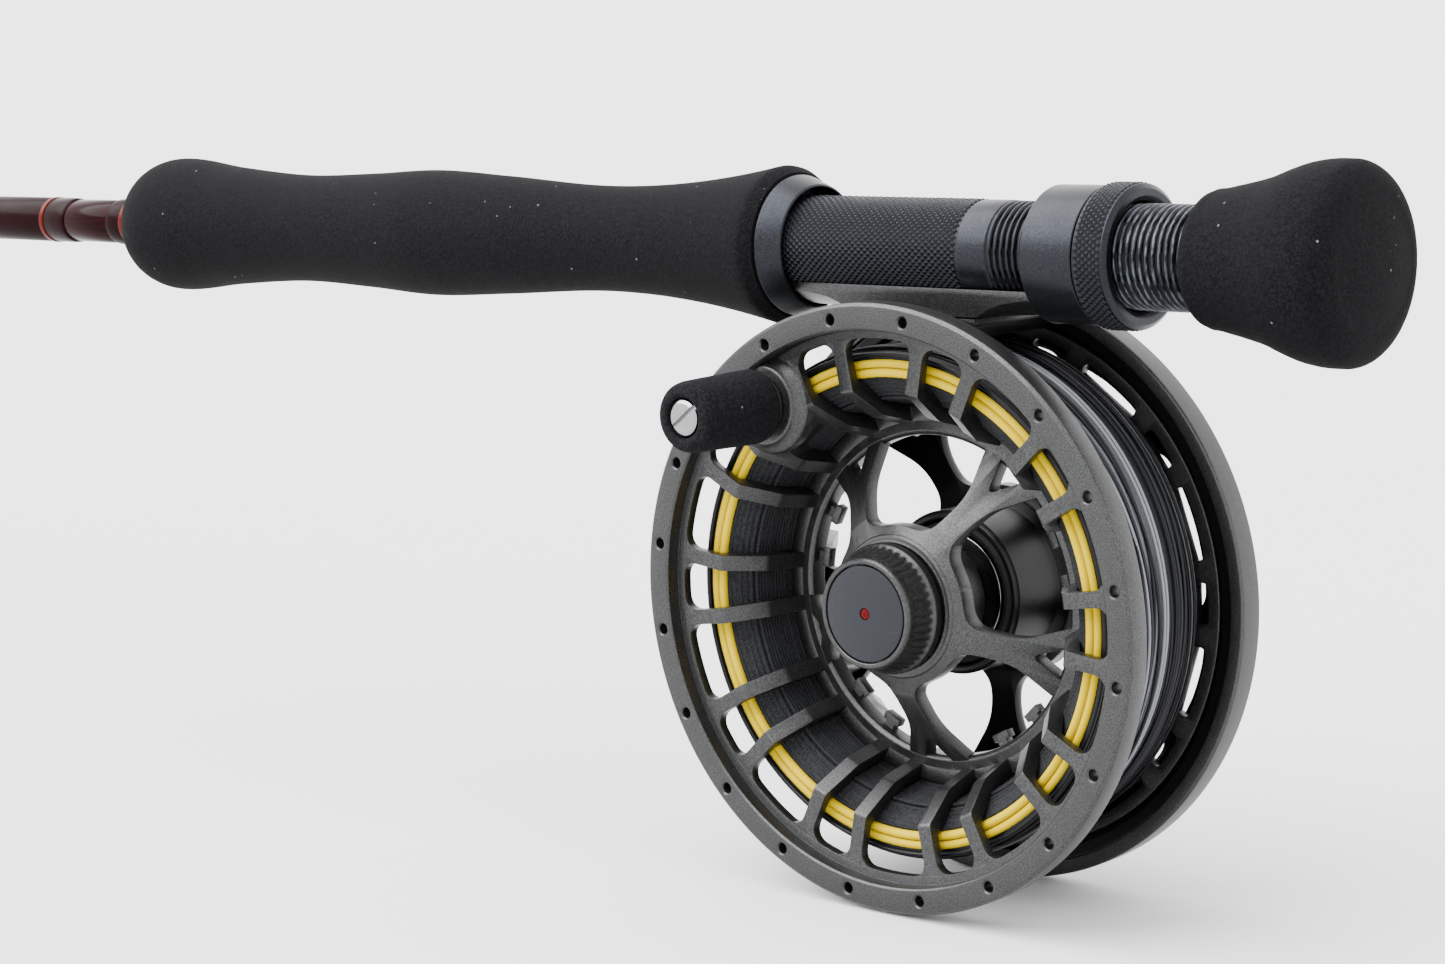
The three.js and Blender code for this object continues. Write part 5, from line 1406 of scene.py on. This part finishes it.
    def boss(self):
        x, z = polar(KNOB_CIRCLE_R, KNOB_ANGLE)
        start = extent("knob_washer", "y")[1] + GAP
        pad = turned(softened([(POST_R + 0.25, start), (BOSS_R - 0.5, start),
                               (BOSS_R - 0.2, start + 0.6), (BOSS_R + 0.3, 2.1),
                               (BOSS_R + 1.3, 3.0), (BOSS_R + 1.5, 3.6), (BOSS_R + 1.5, 5.3),
                               (POST_R + 0.25, 5.3)], 0.35), "y", 72)
        return at_reel("spool_boss", [shifted(pad, x, z)])

    def drill(self, spool):
        x, z = polar(KNOB_CIRCLE_R, KNOB_ANGLE)
        hole = turned([(0, -2), (POST_R + 0.25, -2), (POST_R + 0.25, 8), (0, 8)], "y", 40)
        carve(spool, at_reel("post_hole", [shifted(hole, x, z)]))


# ------------------------------------------------------------------ windings
class REEL_OT_windings(bpy.types.Operator):
    """Wind the backing, the fly line and the outer turns onto the spool"""
    bl_idname = "reel.windings"
    bl_label = "Windings"

    def execute(self, context):
        reel = context.scene.reel_settings
        self.backing(reel)
        self.fly_line(reel)
        self.outer_turns(reel)
        return {"FINISHED"}

    def backing(self, reel):
        _, end, outer = extent("backing_winding", "y")
        pitch, middle = reel.backing_pitch, ARBOR_Y
        first = BACKING_FRONT_Y
        count = int((end - 1.6 - first) * MM / pitch)
        turns = wound("backing_turns", Count=count, First_place=first * MM, Pitch=pitch,
                      Radius=BACKING_INNER_R * MM, Middle=middle * MM, Slope=0.21, Knee=0.0085,
                      Steep_slope=0.85, Thickness=pitch * 1.15, Uneven=0.00005, Tilt=0.0012,
                      Seed=11, Material=finish("braided_backing"))
        core = [(outer - 0.2, first + 0.4), (outer - 0.2, end - 0.2), (39.6, end - 0.2),
                (36.2, middle + 9.4), (34.1, middle + 1), (34.1, middle - 1), (36.2, middle - 9.4),
                (38.9, first + 0.4)]
        joined_mesh(turns, at_reel("backing_core", [turned(softened(core, 0.3), "y", 144)]))
        finished(turns, finish("braided_backing"), "spool",
                 ("backing_winding",), 60.0)

    def fly_line(self, reel):
        width = reel.line_width
        start, end, outer = extent("fly_line_winding", "y")
        front, over = [
            wound(name, Count=1, First_place=start * MM + width * (0.5 + LINE_LEAN * index),
                  Pitch=width, Radius=LINE_INNER_R * MM + index * width * LINE_RISE,
                  Thickness=width, Seed=3 + index, Material=finish("yellow_line"))
            for index, name in enumerate(("line_turns_front", "line_turn_1"))]
        turns = joined_mesh(front, over)
        core = ring(40.9, outer, start + 1.2, end - 0.4, 0.2)
        joined_mesh(turns, at_reel("line_core", [turned(core, "y", 144)]))
        finished(turns, finish("yellow_line"), "spool", ("fly_line_winding",), 60.0)

    def outer_turns(self, reel):
        width = reel.leader_width
        start, end, outer = extent("leader_winding", "y")
        count = int((end - start) * MM / (width * 0.92))
        under = wound("outer_turns", Count=count, First_place=(start + 0.5) * MM,
                      Pitch=width * 0.92, Radius=(outer - 0.6) * MM, Thickness=width,
                      Uneven=0.00008, Tilt=0.002, Seed=21, Material=finish("running_line"))
        loose = wound("loose_turns", Count=26, First_place=(start + 2.7) * MM, Pitch=0.00088,
                      Radius=(outer + 0.25) * MM, Thickness=width * 0.66, Uneven=0.00034,
                      Tilt=0.048, Seed=34, Material=finish("running_line"))
        joined_mesh(under, loose)
        core = ring(outer - 1.9, outer - 0.6, start + 0.6, end - 0.4, 0.2)
        joined_mesh(under, at_reel("outer_core", [turned(core, "y", 144)]))
        finished(under, finish("running_line"), "spool", ("leader_winding",), 60.0)


def joined_mesh(base, other):
    """Adds another object's mesh to a piece without cutting it."""
    model = bmesh.new()
    model.from_mesh(base.data)
    model.from_mesh(other.data)
    model.to_mesh(base.data)
    model.free()
    bpy.data.objects.remove(other)
    return base


# ------------------------------------------------------------------ crank and cap
class REEL_OT_crank(bpy.types.Operator):
    """Build the crank knob with its screw, bush and washer"""
    bl_idname = "reel.crank"
    bl_label = "Crank knob"

    def execute(self, context):
        x, z = polar(KNOB_CIRCLE_R, KNOB_ANGLE)
        place = REEL_ORIGIN + Vector((x, 0, z)) * MM
        front, base, radius = extent("crank_knob", "y")
        bore = 3.85
        seat = front + 1.8
        outline = [(radius - 1.0, base), (bore, base), (bore, seat), (3.5, seat),
                   (3.5, front + 0.35), (4.0, front)]
        outline += [(radius - 2.0, front + 0.02), (radius - 1.1, front + 0.35),
                    (radius - 0.55, front + 1.1)]
        outline += [(radius - 0.32, front + 2.4), (radius - 0.22, front + 6),
                    (radius - 0.1, front + 11)]
        outline += [(radius, front + 15), (radius, base - 1.4), (radius - 0.3, base - 0.5)]
        knob = body_of("knob_sleeve", [turned(softened(outline, 0.25), "y", 96)], place)
        finished(knob, finish("knob_foam"), "crank_knob", ("crank_knob",))
        start, end, outer = extent("knob_bush", "y")
        bush = turned(ring(POST_R + 0.2, outer, start, end), "y", 64)
        bush = body_of("knob_liner", [bush], place)
        finished(bush, finish("dark_polymer"), "spool", ("knob_bush",))
        start, end, outer = extent("knob_washer", "y")
        washer = turned(ring(POST_R + 0.2, outer, start, end, 0.2), "y", 72)
        washer = body_of("knob_spacer", [washer], place)
        finished(washer, finish("bright_steel"), "spool", ("knob_washer",))
        self.screw(place)
        return {"FINISHED"}

    def screw(self, place):
        start, end, head = extent("knob_post_screw", "y")
        outline = softened([(0, start + 0.05), (head - 0.7, start), (head - 0.1, start + 0.35),
                            (head, start + 0.7), (head, start + 1.3), (POST_R, start + 1.3),
                            (POST_R, end), (0, end)],
                            0.12)
        screw = body_of("knob_screw", [turned(outline, "y", 72)], place)
        slot = prism([(-5, -0.42), (5, -0.42), (5, 0.42), (-5, 0.42)], start - 1, start + 0.75)
        tool = body_of("slot_tool", [slot])
        turn = Matrix.Rotation(math.radians(SCREW_SLOT_TURN), 4, "Y")
        tool.data.transform(Matrix.Translation(place) @ turn)
        carve(screw, tool)
        finished(screw, finish("bright_steel"), "spool", ("knob_post_screw",), 30.0)


class REEL_OT_cap(bpy.types.Operator):
    """Build the fluted release cap with its face, its mark and its retaining ring"""
    bl_idname = "reel.cap"
    bl_label = "Release cap"

    def execute(self, context):
        flutes = context.scene.reel_settings.flutes
        front, back, radius = extent("release_cap", "y")
        disc_start, disc_end, disc_r = extent("cap_disc", "y")
        rim, side_start, side_end = 9.3, front + 1.1, back - 1.9

        def flute(r, place, angle):
            if r < rim or place < side_start or place > side_end:
                return r
            fade = min(1.0, (place - side_start) / 0.5, (side_end - place) / 0.5)
            return r - 0.26 * fade * (0.5 + 0.5 * math.cos(flutes * angle)) ** 1.5

        outline = [(disc_r + 0.25, front + 0.15), (disc_r + 0.4, front), (rim - 0.1, front),
                   (rim + 0.2, front + 0.3), (rim + 0.32, front + 0.8)]
        slope = (radius - 0.45 - rim - 0.4) / (side_end - side_start)
        for y in [side_start, *span(side_start, side_end, 14)]:
            outline.append((rim + 0.4 + slope * (y - side_start), y))
        outline += [(radius - 0.15, side_end + 0.25), (radius, side_end + 0.55),
                    (radius, back - 0.2), (radius - 0.2, back), (radius - 1.6, back),
                    (radius - 1.6, disc_end + 2.0), (5.3, disc_end + 2.0), (5.3, disc_end + 5.0),
                    (3.3, disc_end + 5.0), (3.3, disc_end + GAP), (disc_r + 0.25, disc_end + GAP)]
        reel_piece("cap_shell", "release_cap", outline, "reel_anodised", 264,
                   "release_cap", flute)
        face = [(0, disc_start), (disc_r - 0.35, disc_start), (disc_r - 0.1, disc_start + 0.08),
                (disc_r, disc_start + 0.3), (disc_r, disc_end), (0, disc_end)]
        disc = at_reel("cap_face_plate", [turned(face, "y", 96)])
        dot_r = extent("cap_dot", "y")[2]
        tool = turned([(0, -6), (dot_r + 0.12, -6), (dot_r + 0.12, disc_start + 0.4),
                       (0, disc_start + 0.4)], "y", 32)
        carve(disc, at_reel("dot_tool", [tool]))
        finished(disc, finish("cap_face"), "release_cap", ("cap_disc",), 30.0)
        start, end, outer = extent("cap_dot", "y")
        dot = [(0, start + 0.02), (outer * 0.6, start + 0.03), (outer * 0.9, start + 0.08),
               (outer, end), (0, end)]
        reel_piece("cap_mark", "cap_dot", dot, "red_paint", 32, "release_cap")
        start, end, outer = extent("cap_retaining_ring", "y")
        reel_piece("retaining_ring", "cap_retaining_ring", ring(5.65, outer, start, end),
                   "bright_steel", body="cap_slider")
        return {"FINISHED"}


# ------------------------------------------------------------------ frame
class REEL_OT_frame(bpy.types.Operator):
    """Build the frame with its spokes and drag housing, the foot, its screws and the drag knob"""
    bl_idname = "reel.frame"
    bl_label = "Frame and foot"

    def execute(self, context):
        body = self.ring()
        joined(body, self.web(), self.housing(), self.arm())
        self.drill(body)
        crisp(body, 0.22)
        body.name = "frame_casting"
        finished(body, finish("frame_anodised"), "rod", ("reel_frame",), 34.0)
        self.foot()
        self.drag_knob()
        return {"FINISHED"}

    def ring(self):
        outline = softened([
            (FRAME_R - 0.35, FRAME_FRONT_Y), (FRAME_R, FRAME_FRONT_Y + 0.35),
            (FRAME_R, FRAME_REAR_Y - 1.0), (FRAME_R - 1.0, FRAME_REAR_Y),
            (WEB_INNER_R, FRAME_REAR_Y), (WEB_INNER_R, WEB_FRONT_Y), (FRAME_INNER_R, WEB_FRONT_Y),
            (FRAME_INNER_R, FRAME_FRONT_Y + 0.9), (FRAME_STEP_R, FRAME_FRONT_Y + 0.9),
            (FRAME_STEP_R, FRAME_FRONT_Y)], 0.22)
        return at_reel("frame_ring", [turned(outline, "y", 240)])

    def web(self):
        plate = turned(ring(HOUSING_BORE_R + 0.5, WEB_INNER_R + 0.6, WEB_FRONT_Y + 0.2,
                            FRAME_REAR_Y - 0.2, 0.1), "y", 200)
        web = at_reel("frame_web", [plate])
        window = spoke_window(HOUSING_R + 3.4, 25.5, WEB_INNER_R - 0.2, 5.2, 17.0, 3.6)
        window = prism(window, WEB_FRONT_Y - 2, FRAME_REAR_Y + 2)
        carve(web, copied("web_windows", [window], SPOKES))
        outer = WEB_INNER_R - 0.2
        fork = rounded([polar(29.5, SPOKE_PHASE), polar(outer, SPOKE_PHASE - 11.8),
                        polar(outer + 0.6, SPOKE_PHASE), polar(outer, SPOKE_PHASE + 11.8)], 2.6)
        carve(web, copied("web_forks", [prism(fork, WEB_FRONT_Y - 2, FRAME_REAR_Y + 2)], SPOKES))
        return web

    def housing(self):
        bore = SPINDLE_R + GAP
        outline = softened([
            (HOUSING_R - 0.6, HOUSING_FRONT_Y), (HOUSING_R, HOUSING_FRONT_Y + 0.6),
            (HOUSING_R, WEB_FRONT_Y - 2.6), (HOUSING_R + 1.0, WEB_FRONT_Y - 0.4),
            (HOUSING_R + 2.6, WEB_FRONT_Y + 0.4), (HOUSING_R + 2.6, FRAME_REAR_Y - 0.1),
            (bore, FRAME_REAR_Y - 0.1), (bore, WEB_FRONT_Y), (HOUSING_BORE_R, WEB_FRONT_Y),
            (HOUSING_BORE_R, HOUSING_FRONT_Y + 0.4), (HOUSING_BORE_R + 0.4, HOUSING_FRONT_Y)], 0.2)
        return at_reel("frame_housing", [turned(outline, "y", 160)])

    def arm(self):
        top = ARM_INNER_R + ARM_THICK
        half = math.degrees(math.asin(ARM_HALF_LENGTH / ARM_INNER_R))
        under = [polar(ARM_INNER_R, 90 + half - 2 * half * i / 24) for i in range(25)]
        outline = under + [(ARM_HALF_LENGTH + 0.6, top - 1.2), (ARM_HALF_LENGTH + 0.2, top),
                           (-ARM_HALF_LENGTH - 0.2, top), (-ARM_HALF_LENGTH - 0.6, top - 1.2)]
        return at_reel("frame_arm", [prism(outline, ARM_FRONT_Y, FRAME_FRONT_Y + 2)])

    def drill(self, body):
        outline = [(0, 40), (FOOT_SCREW_HOLE_R, 40), (FOOT_SCREW_HOLE_R, 52), (0, 52)]
        for x in FOOT_SCREWS_X:
            carve(body, at_reel("foot_hole", [upright(outline, x, 24)]))

    def foot(self):
        low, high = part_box("reel_foot")
        half = (high.x - low.x) / 2 / MM
        tip_r, inner = 10.15, 9.1
        base = ARM_INNER_R + ARM_THICK + GAP
        tip, top, width = AXLE_DROP - tip_r, AXLE_DROP - 4.84, (high.y - low.y) / 2 / MM
        side = [(-half, tip), (-half + 9, tip), (-ARM_HALF_LENGTH - 1, base),
                (ARM_HALF_LENGTH + 1, base), (half - 9, tip), (half, tip), (half, top),
                (-half, top)]
        foot = at_reel("foot_saddle", [prism(side, ROD_Y - width, ROD_Y + width)])
        wing = [(tip_r + 3.6, ARM_HALF_LENGTH - 0.4), (tip_r + 2.3, ARM_HALF_LENGTH + 0.9),
                (tip_r + 1.3, ARM_HALF_LENGTH + 3.0), (tip_r + 0.6, half - 12.5),
                (tip_r + 0.2, half - 9.5), (tip_r, half - 7.5), (tip_r, half - 1.5),
                (tip_r - 0.25, half - 0.5), (tip_r - 0.6, half)]
        outline = [(0, -half), *[(r, -x) for r, x in reversed(wing)], *wing, (0, half)]
        centre = REEL_ORIGIN + Vector((0, ROD_Y, AXLE_DROP)) * MM
        carve(foot, body_of("foot_envelope", [turned(outline, "x", 160)], centre), "INTERSECT")
        seat = turned([(0, -40), (inner, -40), (inner, 40), (0, 40)], "x", 160)
        carve(foot, body_of("foot_seat", [seat], centre))
        hole = [(0, 44), (FOOT_SCREW_HOLE_R, 44), (FOOT_SCREW_HOLE_R, base + 0.5),
                (2.9, base + 0.5), (2.9, 62), (0, 62)]
        for x in FOOT_SCREWS_X:
            carve(foot, at_reel("screw_hole", [upright(hole, x, 32)]))
        crisp(foot, 0.18)
        finished(foot, finish("reel_anodised"), "rod", ("reel_foot",), 34.0)
        start, end = base + 0.5 + 0.15, base + 0.5 + 0.75
        pin = softened([(0, ARM_INNER_R), (1.5, ARM_INNER_R), (1.5, start), (2.6, start),
                        (2.6, end), (1.2, end), (1.0, end - 0.35), (0, end - 0.35)], 0.1)
        for index, x in enumerate(FOOT_SCREWS_X):
            screw = at_reel(f"foot_bolt_{index + 1}", [upright(pin, x, 40)])
            finished(screw, finish("bright_steel"), "rod", (f"foot_screw_{index + 1}",))

    def drag_knob(self):
        start, end, radius = extent("drag_knob", "y")
        radius = (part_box("drag_knob")[1].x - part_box("drag_knob")[0].x) / 2 / MM

        def lobe(r, place, angle):
            if r < radius - 3.2:
                return r
            return r - 1.1 * (1 - math.cos(DIAL_LOBES * angle)) / 2

        bore = SPINDLE_R + GAP
        outline = softened([(bore, start), (radius - 1.0, start), (radius - 0.1, start + 0.9),
                            (radius - 0.1, end - 2.2), (radius - 0.8, end - 1.0),
                            (radius - 2.2, end - 0.2), (radius - 3.6, end),
                            (radius - 4.0, end - 0.5), (4.6, end - 0.9), (4.2, end - 0.4),
                            (0, end - 0.4), (0, end - 1.8), (bore, end - 1.8)], 0.25)
        reel_piece("drag_dial", "drag_knob", outline, "seat_anodised", 240,
                   "drag_knob", lobe)


class REEL_OT_works(bpy.types.Operator):
    """Build the spindle, bearings, clutch and drag pack inside the reel"""
    bl_idname = "reel.works"
    bl_label = "Drag and bearings"

    def execute(self, context):
        start, end, radius = extent("spindle", "y")
        outline = softened([(0, start), (radius - 0.5, start), (radius, start + 0.5),
                            (radius, start + 2.0), (radius - 0.3, start + 2.1),
                            (radius - 0.3, start + 2.6), (radius, start + 2.7), (radius, end),
                            (0, end)], 0.1, 2)
        reel_piece("spindle_shaft", "spindle", outline, "bright_steel", 64)
        self.bearings()
        self.hub()
        self.pack()
        return {"FINISHED"}

    def bearings(self):
        for name, node in (("front_bearing", "hub_bearing_front"),
                           ("rear_bearing", "hub_bearing_rear")):
            start, end, outer = extent(node, "y")
            inner = BEARING_BORE_R
            race = (outer - inner) * 0.3
            outline = softened([
                (inner, start), (inner + race, start), (inner + race, start + 0.35),
                (outer - race, start + 0.35), (outer - race, start), (outer, start), (outer, end),
                (outer - race, end), (outer - race, end - 0.35), (inner + race, end - 0.35),
                (inner + race, end), (inner, end)], 0.08, 2)
            reel_piece(name, node, outline, "bright_steel", 72, "spool")
        start, end, outer = extent("one_way_clutch", "y")
        reel_piece("clutch_sleeve", "one_way_clutch", ring(BEARING_BORE_R, outer, start, end),
                   "dark_polymer", 72, "spool")

    def hub(self):
        start, end, flange = extent("drag_hub", "y")
        core, rise, bore = CORE_R, CORE_FLANGE_Y, SPINDLE_R + GAP
        outline = softened([(core - 0.4, start), (core, start + 0.4), (core, rise), (flange, rise),
                            (flange, rise + 2), (core, rise + 2), (core, end), (bore, end),
                            (bore, start)], 0.15)
        reel_piece("drag_core", "drag_hub", outline, "bright_steel", 96, "drag_rotor")
        start, end, outer = extent("housing_seal", "y")
        middle = (start + end) / 2
        seal = softened([(outer - 1.8, middle - 0.4), (outer - 0.9, start), (outer, middle - 0.4),
                         (outer, middle + 0.4), (outer - 0.9, end),
                         (outer - 1.8, middle + 0.4)], 0.2)
        reel_piece("housing_lip_seal", "housing_seal", seal, "seal_rubber", 96)

    def pack(self):
        for index in range(3):
            node = f"drag_disc_{index + 1}"
            start, end, outer = extent(node, "y")
            reel_piece(f"friction_disc_{index + 1}", node, ring(DISC_BORE_R, outer, start, end),
                       "pressed_carbon")
        for index in range(2):
            node = f"drag_plate_{index + 1}"
            start, end, outer = extent(node, "y")
            reel_piece(f"pressure_plate_{index + 1}", node, ring(PLATE_BORE_R, outer, start, end),
                       "bright_steel", body="drag_rotor")
        start, end, outer = extent("drag_spring", "y")
        cone = softened([(DISC_BORE_R, start), (DISC_BORE_R, start + 0.7),
                         (outer, end), (outer, end - 0.7)], 0.12)
        reel_piece("spring_washer", "drag_spring", cone, "bright_steel")


# ------------------------------------------------------------------ stage
class STAGE_OT_build(bpy.types.Operator):
    """Build the floor, the light and the camera"""
    bl_idname = "stage.build"
    bl_label = "Stage"

    def execute(self, context):
        stage = context.scene.stage_settings
        self.floor(stage)
        self.light(stage)
        self.camera(context)
        return {"FINISHED"}

    def floor(self, stage):
        paint = Finish("floor_paper")
        fine = paint.grain(40.0, 3.0)
        colour = tuple(stage.floor_colour)
        paint.made(Base_Color=paint.mixed(fine, shade(colour, 0.99), colour), Roughness=0.9)
        low = CAD_BOX[0][2]
        reach = FLOOR_REACH
        mesh = bpy.data.meshes.new("floor")
        mesh.from_pydata([(-reach, -reach, low), (reach, -reach, low), (reach, reach, low),
                          (-reach, reach, low)],
                         [], [(0, 1, 2, 3)])
        floor = bpy.data.objects.new("floor", mesh)
        mesh.materials.append(paint.material)
        bpy.context.scene.collection.objects.link(floor)

    def light(self, stage):
        world = bpy.data.worlds.new("studio")
        world.use_nodes = True
        world.node_tree.nodes["Background"].inputs["Color"].default_value = (1.0, 1.0, 1.0, 1.0)
        world.node_tree.nodes["Background"].inputs["Strength"].default_value = stage.sky_power
        bpy.context.scene.world = world
        lamp = bpy.data.lights.new("soft_light", "SUN")
        lamp.energy = stage.sun_power
        lamp.angle = math.radians(SUN_SPREAD)
        holder = bpy.data.objects.new("soft_light", lamp)
        holder.rotation_euler = Vector(SUN_DIRECTION).to_track_quat("Z", "Y").to_euler()
        bpy.context.scene.collection.objects.link(holder)

    def camera(self, context):
        azimuth, elevation, roll = (math.radians(a) for a in CAMERA_TURN)
        target = REEL_ORIGIN + Vector(CAMERA_TARGET) * MM
        forward = Vector((-math.sin(azimuth) * math.cos(elevation),
                          math.cos(azimuth) * math.cos(elevation), -math.sin(elevation)))
        right = Vector((math.cos(azimuth), math.sin(azimuth), 0))
        up = right.cross(forward)
        across = math.cos(roll) * right + math.sin(roll) * up
        above = -math.sin(roll) * right + math.cos(roll) * up
        place = target - forward * CAMERA_DISTANCE
        lens = bpy.data.cameras.new("camera")
        lens.sensor_width = SENSOR_WIDTH
        lens.lens = LENS_LENGTH
        lens.clip_start = 0.01
        lens.clip_end = 100.0
        holder = bpy.data.objects.new("camera", lens)
        turn = Matrix((across, above, -forward)).transposed()
        holder.matrix_world = Matrix.Translation(place) @ turn.to_4x4()
        context.scene.collection.objects.link(holder)
        context.scene.camera = holder


class VIEW3D_PT_rod(bpy.types.Panel):
    """Lists the steps that build the rod and the reel"""
    bl_label = "Fly rod and reel"
    bl_idname = "VIEW3D_PT_rod"
    bl_space_type = "VIEW_3D"
    bl_region_type = "UI"
    bl_category = "Rod"

    def draw(self, context):
        for step in STEPS:
            self.layout.operator(step)
        for group in ("rod_settings", "reel_settings", "stage_settings"):
            settings = getattr(context.scene, group)
            box = self.layout.box()
            for label in settings.__annotations__:
                box.prop(settings, label)


STEPS = ("stage.build", "rod.blank", "rod.guide", "rod.grip", "rod.seat", "reel.spool",
         "reel.windings", "reel.crank", "reel.cap", "reel.frame", "reel.works")
CLASSES = (RodSettings, ReelSettings, StageSettings, ROD_OT_blank, ROD_OT_guide, ROD_OT_grip,
           ROD_OT_seat, REEL_OT_spool, REEL_OT_windings, REEL_OT_crank, REEL_OT_cap, REEL_OT_frame,
           REEL_OT_works, STAGE_OT_build, VIEW3D_PT_rod)


def register():
    """Registers the classes and the scene's settings."""
    for cls in CLASSES:
        bpy.utils.register_class(cls)
    bpy.types.Scene.rod_settings = bpy.props.PointerProperty(type=RodSettings)
    bpy.types.Scene.reel_settings = bpy.props.PointerProperty(type=ReelSettings)
    bpy.types.Scene.stage_settings = bpy.props.PointerProperty(type=StageSettings)


def unregister():
    """Takes the settings and the classes away again."""
    del bpy.types.Scene.rod_settings
    del bpy.types.Scene.reel_settings
    del bpy.types.Scene.stage_settings
    for cls in reversed(CLASSES):
        bpy.utils.unregister_class(cls)


def main():
    """Builds every piece in order."""
    register()
    for step in STEPS:
        group, name = step.split(".")
        getattr(getattr(bpy.ops, group), name)()


if __name__ == "__main__":
    main()
